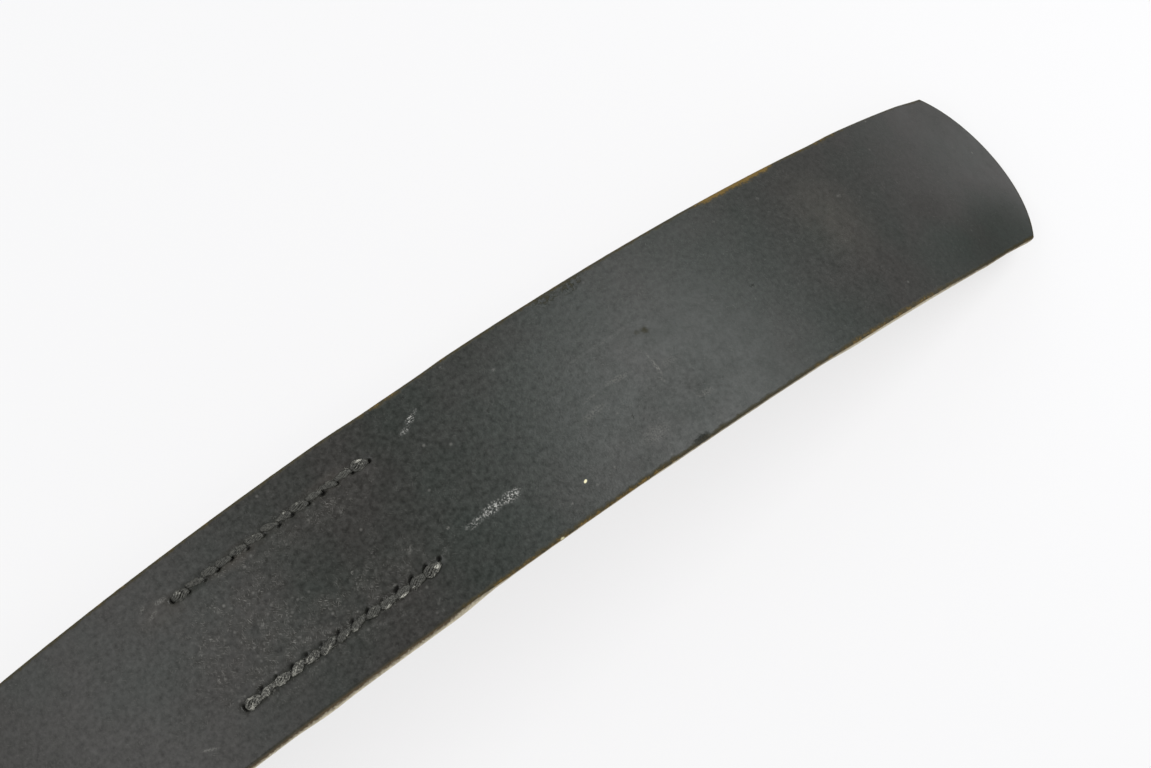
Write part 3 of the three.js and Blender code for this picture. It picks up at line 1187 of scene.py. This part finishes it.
        # Scuffs come in clouds.
        scuffs, *others = [self._streaks(ground, *stroke) for stroke in self.strokes]
        for more in others:
            scuffs = add_node(tree, "Math", (scuffs, more), operation="MAXIMUM")
        gate = add_node(tree, "MapRange", (cloud, 0.4, 0.62))
        density = add_node(tree, "MapRange", (near, 0.0, 1.0, 0.1, 0.5))
        for factor in (gate, density):
            scuffs = add_node(tree, "Math", (scuffs, factor), operation="MULTIPLY")

        # Each cell draws a lot, and a speck shows in the middle of the cells whose red is high enough.
        cells = {"Vector": ground.flat, "Scale": 1 / self.speck_mm, "Randomness": 1.0}
        cells = add_node(tree, "TexVoronoi", cells)
        specks = add_node(tree, "MapRange", (cells, 0.05, 0.34, 1.0, 0.0))
        lots = add_node(tree, "SeparateColor", (cells.outputs["Color"],))
        rarity = add_node(tree, "MapRange", (near, 0.0, 1.0, 0.992, 0.48))
        chosen = add_node(tree, "Math", (lots.outputs["Red"], rarity), operation="GREATER_THAN")
        varied = add_node(tree, "Math", (lots.outputs["Green"], 0.3), operation="MULTIPLY")
        for factor in (chosen, varied):
            specks = add_node(tree, "Math", (specks, factor), operation="MULTIPLY")
        worn = add_node(tree, "Math", (scuffs, specks), operation="MAXIMUM")
        colour = add_node(tree, "Mix", (worn, colour, srgb(self.scuff)), data_type="RGBA")

        # Dust and the painted sheen haze are matt, and the clean leather's roughness varies in clouds and
        # with the mottling.
        matt = add_node(tree, "MapRange", (cloud, 0.3, 0.7, *self.roughness))
        finer = add_node(tree, "Math", (ground.mottle, 0.18, -0.09), operation="MULTIPLY_ADD")
        matt = add_node(tree, "Math", (matt, finer), operation="ADD")
        return colour, add_node(tree, "Math", (dust_and_sheen, 0.25, matt), operation="MULTIPLY_ADD")

    def _marks(self, ground: Ground, colour: Node, matt: Node) -> tuple[Node, Node, Node]:
        """Lay chalk, scratches, sores, crackles and chips over the face, and painted shade in the awl holes.

        Args:
            ground: what the steps share.
            colour: the face's colour.
            matt: the face's roughness.

        Returns:
            The new colour and roughness, and the mask of the chips and crackles.
        """
        tree, flat, fine = ground.tree, ground.flat, ground.fine
        # Chips, sores and crackles have ragged outlines: their coordinates are pushed about by a noise.
        middle, reach = (0.5, 0.5, 0.5), (self.ragged_mm, self.ragged_mm, 0.0)
        centred = add_node(tree, "VectorMath", (ground.rough.outputs["Color"], middle), operation="SUBTRACT")
        torn = add_node(tree, "VectorMath", (centred, reach, flat), operation="MULTIPLY_ADD")
        grains = add_node(tree, "MapRange", (fine, 0.48, 0.64, 0.0, 0.85))
        broken = add_node(tree, "MapRange", (fine, 0.4, 0.62, 0.0, 0.7))
        ragged = add_node(tree, "MapRange", (fine, 0.3, 0.5, 0.4, 1.0))
        split = add_node(tree, "MapRange", (ground.rough, 0.48, 0.6))
        cracked = joined(tree, torn, self.crackles, split)
        pits = joined(tree, torn, self.chips, ragged)
        # Painted shade: the awl holes are darkened more where they are deeper.
        shaded_holes = add_node(tree, "MapRange", (ground.grime, 0.15, 0.7))
        plans = (
            (joined(tree, flat, self.chalk_marks, grains), self.chalk, self.mark_roughness),
            (joined(tree, flat, self.scratches, broken), self.scuff, self.mark_roughness),
            (joined(tree, torn, self.sores, ragged), self.sore_brown, self.mark_roughness),
            (cracked, self.sore_brown, self.mark_roughness),
            (pits, self.pit, self.mark_roughness),
            (shaded_holes, self.grime, self.grime_roughness),
        )
        for area, code, roughness in plans:
            colour = add_node(tree, "Mix", (area, colour, srgb(code)), data_type="RGBA")
            matt = add_node(tree, "Mix", (area, matt, roughness))
        return colour, matt, add_node(tree, "Math", (pits, cracked), operation="MAXIMUM")

    def _raw_masks(self, ground: Ground) -> tuple[Node, Node, Node, Node]:
        """Find where the rubbed rim, the cut edge and the back show.

        Args:
            ground: what the steps share.

        Returns:
            The masks of the rim, the cut edge and the back, and how hard the rim is rubbed.
        """
        tree = ground.tree
        uneven = add_node(tree, "MapRange", (ground.ragged, 0.3, 0.7, 0.5, 1.55))
        reach = add_node(tree, "Math", (ground.worn, uneven), operation="MULTIPLY")
        past = add_node(tree, "Math", (ground.inset, reach), operation="SUBTRACT")
        rim = add_node(tree, "MapRange", (past, -0.3, 0.22, 0.93, 0.0))
        lifted = add_node(tree, "Math", (ground.fibre, 0.5, ground.layer), operation="MULTIPLY_ADD")
        wall = add_node(tree, "MapRange", (lifted, 0.85, 1.15))
        back = add_node(tree, "MapRange", (ground.layer, 1.5, 1.9))
        wear = self.wear_offset
        for name, share in self.wear_shares:
            wear = add_node(tree, "Math", (getattr(ground, name), share, wear), operation="MULTIPLY_ADD")
        return rim, wall, back, wear

    def _bump(self, ground: Ground, rim: Node, pits: Node) -> Node:
        """Make the fine grain, the fibres of raw leather and the chips' pits.

        Args:
            ground: what the steps share.
            rim: where raw leather shows.
            pits: the mask of the chips and crackles.

        Returns:
            The bumped normal.
        """
        tree = ground.tree
        cells = {"Vector": ground.flat, "Scale": 1 / self.grain_mm, "Smoothness": 0.6, "Randomness": 1.0}
        pebble = add_node(tree, "TexVoronoi", cells, feature="SMOOTH_F1")
        grain = add_node(tree, "Math", (ground.crease, 1.4, pebble), operation="MULTIPLY_ADD")
        coarse = add_node(tree, "Math", (ground.fibre, 4.0), operation="MULTIPLY")
        strength = add_node(tree, "MapRange", (ground.grained, 0.0, 1.0, 0.3, 0.9))
        grain = add_node(tree, "Math", (grain, strength), operation="MULTIPLY")
        height = add_node(tree, "Mix", (rim, grain, coarse))
        height = add_node(tree, "Math", (pits, self.pit_height, height), operation="MULTIPLY_ADD")
        raised = {"Height": height, "Strength": 1.0, "Distance": self.grain_height_mm * MM}
        return add_node(tree, "Bump", raised)


@dataclass(frozen=True)
class NaturalLeather(Finish):
    """Vegetable-tanned cowhide without dye, grain side out.

    To the eye: warm brown, darkened by handling in stains, with a dull polish over a fine pebbled grain.
    """

    shades: Stops = ((0.32, "#553620"), (0.66, "#8a5f3c"))
    stain_mm: float = 14.0
    pebble_mm: float = 0.6
    pebble_height_mm: float = 0.06
    roughness: Range = (0.45, 0.7)

    def look(self, tree: Tree) -> Inputs:
        """Draw the stains and the grain.

        Args:
            tree: the material's nodes.

        Returns:
            The shader's inputs.
        """
        flat = add_node(tree, "Attribute", attribute_name="flat").outputs["Vector"]
        stain = add_node(tree, "TexNoise", (flat, 1 / self.stain_mm, 5.0, 0.6))
        pebble = add_node(tree, "TexNoise", (flat, 1 / self.pebble_mm, 5.0, 0.7))
        raised = {"Height": pebble, "Strength": 1.0, "Distance": self.pebble_height_mm * MM}
        return {
            "Base Color": add_node(tree, "ValToRGB", (stain,), self.shades),
            "Roughness": add_node(tree, "MapRange", (stain, 0.0, 1.0, *self.roughness)),
            "Normal": add_node(tree, "Bump", raised),
            "IOR": 1.5,
        }


@dataclass(frozen=True)
class WaxedLinen(Finish):
    """Twisted linen thread, waxed black-brown: dull and dark, with pale fibres where it is worn."""

    waxed: str = "#1b1b17"
    dry: str = "#50504a"
    worn: str = "#b6b5ab"
    # Linen's fibres are 0.02 mm thick: their fuzz is drawn as coarse as it needs to be to show.
    fuzz_mm: float = 0.4
    fuzz_height_mm: float = 0.035
    roughness: float = 0.62

    def look(self, tree: Tree) -> Inputs:
        """Draw the fuzz of the fibres, dark where it is waxed and pale where it is worn.

        Args:
            tree: the material's nodes.

        Returns:
            The shader's inputs.
        """
        flat = add_node(tree, "Attribute", attribute_name="flat").outputs["Vector"]
        fray = add_node(tree, "Attribute", attribute_name="fray").outputs["Fac"]
        fuzz = add_node(tree, "TexNoise", (flat, 1 / self.fuzz_mm, 3.0, 0.65))
        dull = add_node(tree, "MapRange", (fuzz, 0.36, 0.7))
        base = add_node(tree, "Mix", (dull, srgb(self.waxed), srgb(self.dry)), data_type="RGBA")
        shown = add_node(tree, "Math", (fuzz, 1.2, fray), operation="MULTIPLY_ADD")
        pale = add_node(tree, "MapRange", (shown, 0.92, 1.5))
        raised = {"Height": fuzz, "Strength": 1.0, "Distance": self.fuzz_height_mm * MM}
        return {
            "Base Color": add_node(tree, "Mix", (pale, base, srgb(self.worn)), data_type="RGBA"),
            "Roughness": self.roughness,
            "Normal": add_node(tree, "Bump", raised),
            "IOR": 1.5,
        }


@dataclass(frozen=True)
class TumbledSteel(Finish):
    """Stamped mild steel, tumbled and plated with zinc: dull grey, with fine scratches and darker patches."""

    shades: Stops = ((0.35, "#878985"), (0.6, "#a2a4a1"))
    roughness: Range = (0.36, 0.5)
    stain: float = 3 * MM
    # A tumbling scratch is about 0.02 mm wide: it is drawn as coarse as it needs to be to show.
    scratch: Sizes = (3 * MM, 0.2 * MM, 0.2 * MM)
    scratch_depth: float = 0.008 * MM
    scratch_turn_deg: float = 25.0

    def look(self, tree: Tree) -> Inputs:
        """Draw the dull plating and the scratches.

        Args:
            tree: the material's nodes.

        Returns:
            The shader's inputs.
        """
        place = add_node(tree, "TexCoord").outputs["Object"]
        stain = add_node(tree, "TexNoise", (place, 1 / self.stain, 6.0))
        placed = (place, (0.0, 0.0, 0.0), (0.0, 0.0, math.radians(self.scratch_turn_deg)), self.scratch)
        stretched = add_node(tree, "Mapping", placed, vector_type="TEXTURE")
        scratched = add_node(tree, "TexNoise", (stretched, 1.0, 3.0))
        raised = {"Height": scratched, "Strength": 1.0, "Distance": self.scratch_depth}
        return {
            "Base Color": add_node(tree, "ValToRGB", (stain,), self.shades),
            "Metallic": 1.0,
            "Roughness": add_node(tree, "MapRange", (stain, 0.0, 1.0, *self.roughness)),
            "Normal": add_node(tree, "Bump", raised),
        }


@dataclass(frozen=True)
class MattLaminate(Finish):
    """A pale laminate table top: matt to the eye, and lit so evenly that it glows, with only soft shadows."""

    colour: str = "#78787a"
    light: str = "#ffffff"
    glow: float = 0.69
    roughness: float = 0.6

    def look(self, tree: Tree) -> Inputs:
        """Give the shader's inputs, the same all over."""
        inputs = {"Base Color": srgb(self.colour), "Roughness": self.roughness}
        return {**inputs, "Emission Color": srgb(self.light), "Emission Strength": self.glow}


@dataclass
class Strap:
    """The belt's strap: one strip of leather with a round tip, worn rims, awl holes and small hurts."""

    line: BeltLine
    seams: list[Seam]
    fold_seams: list[Seam]
    width: float = 45.0
    tip_round: float = 10.9
    tip_blend: float = 34.0
    tip_past: float = 0.72
    tip_twist: float = 0.12
    fold_width: float = 36.0
    shoulder: float = 1.6
    rail_end: float = 9.5
    face_round: float = 0.5
    back_round: float = 0.45
    crown: float = 0.45
    unevenness: Range = (0.05, 0.02)
    unevenness_mm: Range = (17.0, 4.5)
    rim_wear: float = 0.65
    widest_inset: float = 3.0
    dents: tuple[Dent, ...] = rows_of(Dent, (129.4, 4, 1.3, 1.1, 0.07, 20), (134.5, -22.2, 1.6, 0.9, 0.2))
    shifts: Spans = rows_of(Span, (12, 62, 1, 0.3, 12), (166, 200, 1, -0.26, 12))
    face_shifts: Spans = rows_of(Span, (22, 98, -1, 0.22, 12), (182, 310, -1, -0.25, 12))
    back_shifts: Spans = rows_of(
        Span,
        (22, 98, -1, 0.36, 12), (142, 190, -1, -0.2, 12), (186, 238, -1, 0.6, 12), (222, 264, -1, 0.32, 12),
    )
    worn_bands: Spans = rows_of(
        Span,
        (72, 102, 1, 0.68, 6), (48, 70, 1, 0.2, 5), (54, 94, -1, 0.2, 6), (138, 192, -1, 0.15, 6),
        (104, 135, -1, -0.08, 6), (176, 194, 1, 0.22, 7), (14, 48, 1, -0.2, 6), (14, 52, -1, -0.2, 6),
        (193, 320, -1, -0.42, 8),
    )

    def __post_init__(self) -> None:
        """Work out the tip's radius."""
        self.half = self.width / 2
        self.tip_radius = arc_radius(self.half, self.tip_round)

    def _grid(self) -> tuple[Array, Array]:
        """Lay out the rows and columns, with the tip's rows bent to its round.

        Returns:
            The places of the grid's points along and across.
        """
        line, seam = self.line, self.seams[0]
        # The rows are close at the ends, the seams and the fold, and far apart where the belt lies flat.
        rows = spaced(
            [
                (0.0, 0.08), (0.08, 0.12), (0.2, 0.2), (0.6, 0.4), (1.4, 0.8), (3.0, 1.2),
                (seam.begin - 3.5, 0.26), (seam.end + 3.5, 1.2), (300.0, 3.0), (475.0, 11.0), (895.0, 4.0),
                (line.length - line.fold_top, 2.0), (line.length - 2.0, 0.8), (line.fold_end + 12.0, 1.6),
                (line.end - 1.4, 0.4), (line.end - 0.2, 0.1),
            ],
            line.end,
        )
        rim = [(self.half - 1.4, 0.4), (self.half - 0.6, 0.2), (self.half - 0.2, 0.1)]
        lower, upper = (
            spaced([(0.0, 1.3), (place - 2.5, 0.24), (place + 1.9, 1.2), *rim], self.half)
            for place in (-self.seams[1].across, self.seams[0].across)
        )
        columns = np.concatenate((-lower[:0:-1], upper)) / self.half
        along, share = np.meshgrid(rows, columns, indexing="ij")
        across = share * self._half_width(along)
        blend = 1 - smooth_step(along, 0.0, self.tip_blend)
        return along + (drawn_back(self.tip_radius, across) - self.tip_past) * blend, across

    def _half_width(self, along: Array) -> Array:
        """Give half the strap's width: it is cut narrower from the hook's rails to the end of the fold.

        Args:
            along: the places along the belt.

        Returns:
            Half the width at each.
        """
        begin = self.line.fold_begin + self.line.fold_radius - self.rail_end
        narrow = smooth_step(along, begin - self.shoulder, begin)
        return (self.width + (self.fold_width - self.width) * narrow) / 2

    def _edge_distance(self, along: Array, across: Array) -> Array:
        """Give each point's distance from the nearest cut edge, up to a limit.

        Args:
            along: the points' places along the belt.
            across: their places across it.

        Returns:
            The distances in millimetres.
        """
        side = self._half_width(along) - np.abs(across)
        tip = self.tip_radius - np.hypot(self.tip_radius - along - self.tip_past, across)
        tip = np.where(along < self.tip_radius, tip, self.half)
        return np.clip(np.minimum(np.minimum(side, tip), self.line.end - along), 0.0, self.widest_inset)

    def _shifted(self, along: Array, across: Array, spans: Spans) -> Array:
        """Move the rims outward or inward by the spans' amounts, as an uneven cut does."""
        move = sum(span.at(along, across) for span in self.shifts + spans)
        return across + np.sign(across) * move * (np.abs(across) / self.half) ** 6

    def build(self, finish: Material) -> None:
        """Make the strap.

        Args:
            finish: its material.
        """
        along, across = self._grid()
        distance = self._edge_distance(along, across)
        broad, fine = self.unevenness
        broad_mm, fine_mm = self.unevenness_mm
        twist = self.tip_twist * across / self.half * (1 - smooth_step(along, 0.0, self.tip_blend))
        face = rounding(distance, self.face_round)
        face += self.crown * ((across / self.half) ** 2 - 0.5) + twist
        face += broad * waves(along, across, broad_mm, 1.0)
        face += fine * waves(along, across, fine_mm, 2.0) * (distance > self.face_round)
        # Painted shade darkens each awl hole more where it is deeper.
        grime = np.zeros_like(face)
        for seam in [*self.seams, *self.fold_seams]:
            for slit in seam.slits():
                depth = slit.depth_at(along, across)
                face += depth
                grime = np.maximum(grime, depth / seam.slit_depth)
            for groove in seam.grooves():
                face += groove.depth_at(along, across)
        for dent in self.dents:
            face += dent.depth_at(along, across)
        blank = Blank(
            along=along,
            face_across=self._shifted(along, across, self.face_shifts),
            back_across=self._shifted(along, across, self.back_shifts),
            face_depth=face,
            back_depth=self.line.strap_thickness(along) - rounding(distance, self.back_round) + twist,
            inset=distance,
            worn=self.rim_wear + sum(span.at(along, across) for span in self.worn_bands),
            grime=grime,
        )
        add_piece(blank.mesh("strap_leather", self.line), finish, "strap")


@dataclass
class Tongue:
    """The size tongue under the strap: a narrower strip with pairs of prong holes and a rounded free end."""

    line: BeltLine
    seams: list[Seam]
    width: float = 30.0
    thickness: float = 2.6
    free_end: float = 76.0
    free_blend: float = 14.0
    sewn_from: float = 190.0
    sewn_end: float = 245.0
    sewn_blend: float = 8.0
    droop: float = 2.2
    free_round: float = 9.0
    sewn_round: float = 3.0
    rim_round: float = 0.5
    edge_bulge: float = 0.08
    dent_share: float = 0.6
    hole_radius: float = 2.0
    holes_apart: float = 15.0
    first_hole: float = 92.0
    hole_pitch: float = 18.0
    hole_pairs: int = 6
    hole_block: float = 3.5
    rim_steps: tuple[float, ...] = (0.0, 0.08, 0.2, 0.4, 0.7, 1.2)
    cell: float = 1.0

    def top_depth(self, along: Array) -> Array:
        """Give how far the tongue's upper side lies under the strap's outer face."""
        free = np.clip((self.sewn_from - along) / (self.sewn_from - self.free_end), 0, None)
        return self.line.thickness + self.line.gap + self.droop * free**2

    def _lines(self, begin: float, end: float, margin: float) -> Array:
        """Place the grid's lines between two edges, closer at the edges.

        Args:
            begin: the first edge.
            end: the second edge.
            margin: how far from it the even cells stop.

        Returns:
            The lines' places.
        """
        first = [begin + step for step in self.rim_steps]
        last = [end - step for step in self.rim_steps[::-1]]
        return np.array([*first, *np.arange(begin + 2.0, end - margin, self.cell), *last])

    def build(self, finish: Material) -> None:
        """Make the tongue.

        Args:
            finish: its material.
        """
        rows = self._lines(self.free_end, self.sewn_end, 2.0)
        columns = self._lines(-self.width / 2, self.width / 2, 1.5)
        along, across = np.meshgrid(rows, columns, indexing="ij")
        free = 1 - smooth_step(along, self.free_end, self.free_end + self.free_blend)
        sewn = smooth_step(along, self.sewn_end - self.sewn_blend, self.sewn_end)
        along = along + self._inset(across, self.free_round) * free
        along = along - self._inset(across, self.sewn_round) * sewn
        distance = self._edge_distance(along, across)
        drop = rounding(distance, self.rim_round)
        top = self.top_depth(along)
        bottom = top + self.thickness - drop
        for seam in self.seams:
            for dent in [*seam.slits(), *seam.grooves()]:
                bottom = bottom - self.dent_share * dent.depth_at(along, across)
        holes = []
        for pair in range(self.hole_pairs):
            for side in (-1, 1):
                place = self.first_hole + pair * self.hole_pitch
                holes.append(self._hole(rows, columns, place, side * self.holes_apart / 2))
        blank = Blank(
            along=along,
            face_across=across,
            back_across=across,
            face_depth=top + drop,
            back_depth=bottom,
            inset=distance,
            worn=np.zeros_like(along),
            grime=np.zeros_like(along),
            edge_bulge=self.edge_bulge,
            holes=holes,
        )
        add_piece(blank.mesh("tongue_leather", self.line), finish, "tongue")

    def _inset(self, across: Array, depth: float) -> Array:
        """Give how far a round end has drawn back at a distance from the middle line."""
        return drawn_back(arc_radius(self.width / 2, depth), across)

    def _edge_distance(self, along: Array, across: Array) -> Array:
        """Give each point's distance from the tongue's outline.

        Args:
            along: the points' places along the belt.
            across: their places across it.

        Returns:
            The distances in millimetres.
        """
        side = self.width / 2 - np.abs(across)
        free = along - self.free_end - self._inset(across, self.free_round)
        sewn = self.sewn_end - along - self._inset(across, self.sewn_round)
        return np.clip(np.minimum(np.minimum(side, free), sewn), 0.0, None)

    def _hole(self, rows: Array, columns: Array, along: float, across: float) -> PunchedHole:
        """Find the block of cells that a prong hole takes.

        Args:
            rows: the grid's rows.
            columns: the grid's columns.
            along: the hole's place along the belt.
            across: its place across it.

        Returns:
            The hole.
        """
        blocks = []
        for lines, place in ((rows, along), (columns, across)):
            begin, end = np.searchsorted(lines, (place - self.hole_block, place + self.hole_block))
            blocks.append((int(begin) - 1, int(end)))
        return PunchedHole(along, across, self.hole_radius, *blocks)


@dataclass
class Hook:
    """The metal hook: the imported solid's shape with its stamped edges rounded."""

    edge_round: float = 0.35
    segments: int = 3
    flat_below: float = math.radians(1.0)
    sharp_above: float = math.radians(40)
    shaded_above: float = math.radians(38)

    def build(self, finish: Material) -> None:
        """Make the hook.

        Args:
            finish: its material.
        """
        editable = bmesh.new()
        editable.from_mesh(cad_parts["hook"].data)
        bmesh.ops.remove_doubles(editable, verts=editable.verts, dist=1e-6)
        bmesh.ops.dissolve_limit(
            editable, angle_limit=self.flat_below, verts=editable.verts, edges=editable.edges
        )
        sharp = [edge for edge in editable.edges if edge.calc_face_angle(0.0) > self.sharp_above]
        bmesh.ops.bevel(
            editable,
            geom=sharp,
            offset=self.edge_round * MM,
            segments=self.segments,
            profile=0.5,
            affect="EDGES",
            clamp_overlap=True,
        )
        mesh = bpy.data.meshes.new("hook_plate")
        editable.to_mesh(mesh)
        editable.free()
        mesh.shade_smooth()
        mesh.set_sharp_from_angle(angle=self.shaded_above)
        add_piece(mesh, finish, "hook")


@dataclass
class Softbox:
    """A square studio light: its name, its place from its target and its side in metres, and its watts."""

    name: str
    offset: Sizes
    side: float
    power: float

    def build(self, target: Vector) -> None:
        """Set the light up, turned to a target.

        Args:
            target: the target's place in metres.
        """
        data = bpy.data.lights.new(self.name, "AREA")
        data.shape = "SQUARE"
        data.size = self.side
        data.energy = self.power
        light = bpy.data.objects.new(self.name, data)
        bpy.context.scene.collection.objects.link(light)
        light.location = target + Vector(self.offset)
        light.rotation_euler = (-Vector(self.offset)).to_track_quat("-Z", "Y").to_euler()


@dataclass
class Studio:
    """The pale table, the soft light round it, and the camera of the photograph's view.

    The camera's place is measured from the middle of the line through the tip's two corners, in millimetres.
    The table, the softboxes and how far their target lies behind that point are in metres.
    """

    line: BeltLine
    tip_round: float = 11.5
    camera_back: float = 174.4
    camera_right: float = 70.6
    camera_up: float = 448.9
    heading_deg: float = -36.36
    tilt_deg: float = 13.21
    lens: float = 60.0
    sensor: float = 36.0
    clip_start: float = 0.01
    table_side: float = 40.0
    table_level: float = -0.02 * MM
    surround: str = "#ffffff"
    surround_strength: float = 0.5
    target_back: float = 0.12
    softboxes: tuple[Softbox, ...] = (
        Softbox("tip_softbox", (0.92, -0.04, 1.08), 0.8, 12.3),
        Softbox("hook_softbox", (-0.84, 0.12, 1.16), 1.0, 7.5),
        Softbox("far_softbox", (0.3, 1.5, 0.9), 1.5, 3.0),
    )

    def build(self) -> None:
        """Set up the table, the light and the camera."""
        corner_x, corner_z, _ = self.line.face(np.array([self.tip_round]))
        corner = Vector((corner_x[0], 0.0, corner_z[0])) * MM
        self._camera(corner)
        self._table()
        self._surround()
        for softbox in self.softboxes:
            softbox.build(corner - Vector((self.target_back, 0.0, 0.0)))
        bpy.context.scene.view_settings.view_transform = "Standard"
        log.info("studio: camera %.0f mm above the table", bpy.context.scene.camera.location.z / MM)

    def _camera(self, corner: Vector) -> None:
        """Place the camera.

        Args:
            corner: the middle of the line through the tip's corners.
        """
        data = bpy.data.cameras.new("photo_camera")
        data.lens = self.lens
        data.sensor_width = self.sensor
        data.clip_start = self.clip_start
        camera = bpy.data.objects.new("photo_camera", data)
        bpy.context.scene.collection.objects.link(camera)
        camera.location = corner + Vector((-self.camera_back, -self.camera_right, self.camera_up)) * MM
        camera.rotation_euler = (math.radians(self.tilt_deg), 0.0, math.radians(self.heading_deg))
        bpy.context.scene.camera = camera

    def _table(self) -> None:
        """Lay the pale table top under the belt."""
        half = self.table_side / 2
        corners = [(x * half, y * half, self.table_level) for x, y in ((-1, -1), (1, -1), (1, 1), (-1, 1))]
        mesh = bpy.data.meshes.new("table_top")
        mesh.from_pydata(corners, [], [(0, 1, 2, 3)])
        mesh.materials.append(MattLaminate().material("matt_laminate"))
        table = bpy.data.objects.new("table_top", mesh)
        bpy.context.scene.collection.objects.link(table)

    def _surround(self) -> None:
        """Light the scene evenly from all round, as a white tent does."""
        world = bpy.data.worlds.new("white_tent")
        world.use_nodes = True
        background = world.node_tree.nodes["Background"]
        background.inputs["Color"].default_value = srgb(self.surround)
        background.inputs["Strength"].default_value = self.surround_strength
        bpy.context.scene.world = world


def tongue_seams() -> list[Seam]:
    """Lay the two rows of stitches that sew the tongue on, each with the spots where its thread is worn.

    Returns:
        The upper seam and the lower one.
    """
    upper_worn = rows_of(
        WornSpot,
        (195.2, 14.4, 1.1, 0.35, 0.7), (195.6, 13.5, 1, 0.25, 0.3), (198.4, 14.4, 0.4, 0.6, 0.3),
        (202.4, 14.7, 0.7, 0.5, 0.2), (205.1, 14.2, 0.5, 0.3, 0.3), (210.2, 14.6, 0.4, 0.3, 0.3),
        (213.4, 14.7, 0.6, 0.35, 0.4), (215.2, 14.2, 0.4, 0.3, 0.3), (220.6, 14.5, 0.7, 0.4, 0.2),
        (225.3, 13.4, 0.3, 0.5, 0.35), (239.6, 14.2, 0.9, 0.35, 0.5),
    )
    lower_worn = rows_of(
        WornSpot,
        (194.9, -12.5, 0.6, 0.45, 0.75), (196.6, -12.7, 0.9, 0.6, 0.2), (201.1, -13.2, 0.35, 0.5, 0.4),
        (203.7, -13.3, 1.5, 0.26, 0.95), (207, -13.4, 1.8, 0.24, 1), (215.4, -13, 0.6, 0.35, 0.4),
        (217, -13, 0.5, 0.4, 0.35), (221.6, -12.9, 1.2, 0.4, 0.15), (232, -12.5, 9, 2, 0.24),
        (225.8, -12.7, 0.7, 0.4, 0.1), (239.6, -11.6, 1, 0.35, 0.35), (240.4, -12.9, 0.6, 0.4, 0.35),
    )
    upper = Seam(
        across=14.0, begin=193.8, end=241.4, stitches=13, seed=11, proud=-0.28, hole_shift=-0.8, tilt_deg=9.0,
        width=1.8, end_width=2.4, end_shift=-0.3, end_rise=0.15, paleness=0.12, rubbed=0.12, slit=(0.6, 0.4),
        slit_turn_deg=-20.0, worn=upper_worn,
    )
    lower = Seam(
        across=-12.5, begin=193.9, end=241.4, stitches=13, seed=23, proud=-0.04, hole_shift=1.1,
        tilt_deg=-8.0, hole_lead=0.9, worn=lower_worn,
    )
    return [upper, lower]


def fold_seam(side: int) -> Seam:
    """Lay one of the two short rows of stitches that close the fold round the hook."""
    place = {"across": side * 12.0, "begin": 959.0, "end": 979.0}
    return Seam(**place, stitches=5, seed=40 + side, proud=0.05, hole_shift=0.0, tilt_deg=-6.0)


def main() -> None:
    """Build the studio, then the belt in it, piece by piece."""
    logging.basicConfig(level=logging.INFO, format="%(name)s: %(message)s")
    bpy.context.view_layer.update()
    strap_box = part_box("strap")
    line = BeltLine(tip_x=strap_box[1].x / MM)
    fold_x = float(line.face(np.array([line.fold_begin]))[0][0]) - line.fold_radius
    log.info("line: fold at %.2f mm, packed strap ends at %.2f mm", fold_x, strap_box[0].x / MM)

    seams = tongue_seams()
    fold_seams = [fold_seam(side) for side in (-1, 1)]
    Studio(line).build()
    Strap(line, seams, fold_seams).build(BridleLeather().material("black_bridle_leather"))
    tongue = Tongue(line, seams)
    tongue.build(NaturalLeather().material("natural_leather"))
    linen = WaxedLinen().material("waxed_linen")
    thread = Thread(line)
    tongue_under = float(tongue.top_depth(np.array([tongue.sewn_end]))[0]) + tongue.thickness
    for seam in seams:
        thread.add_seam(seam, Side.OUTER)
        thread.add_seam(seam, Side.INNER, tongue_under)
    thread.build("tongue_seams", linen)
    fold_thread = Thread(line)
    for seam in fold_seams:
        fold_thread.add_seam(seam, Side.OUTER)
    fold_thread.build("fold_seams", linen)
    Hook().build(TumbledSteel().material("tumbled_steel"))


if __name__ == "__main__":
    main()
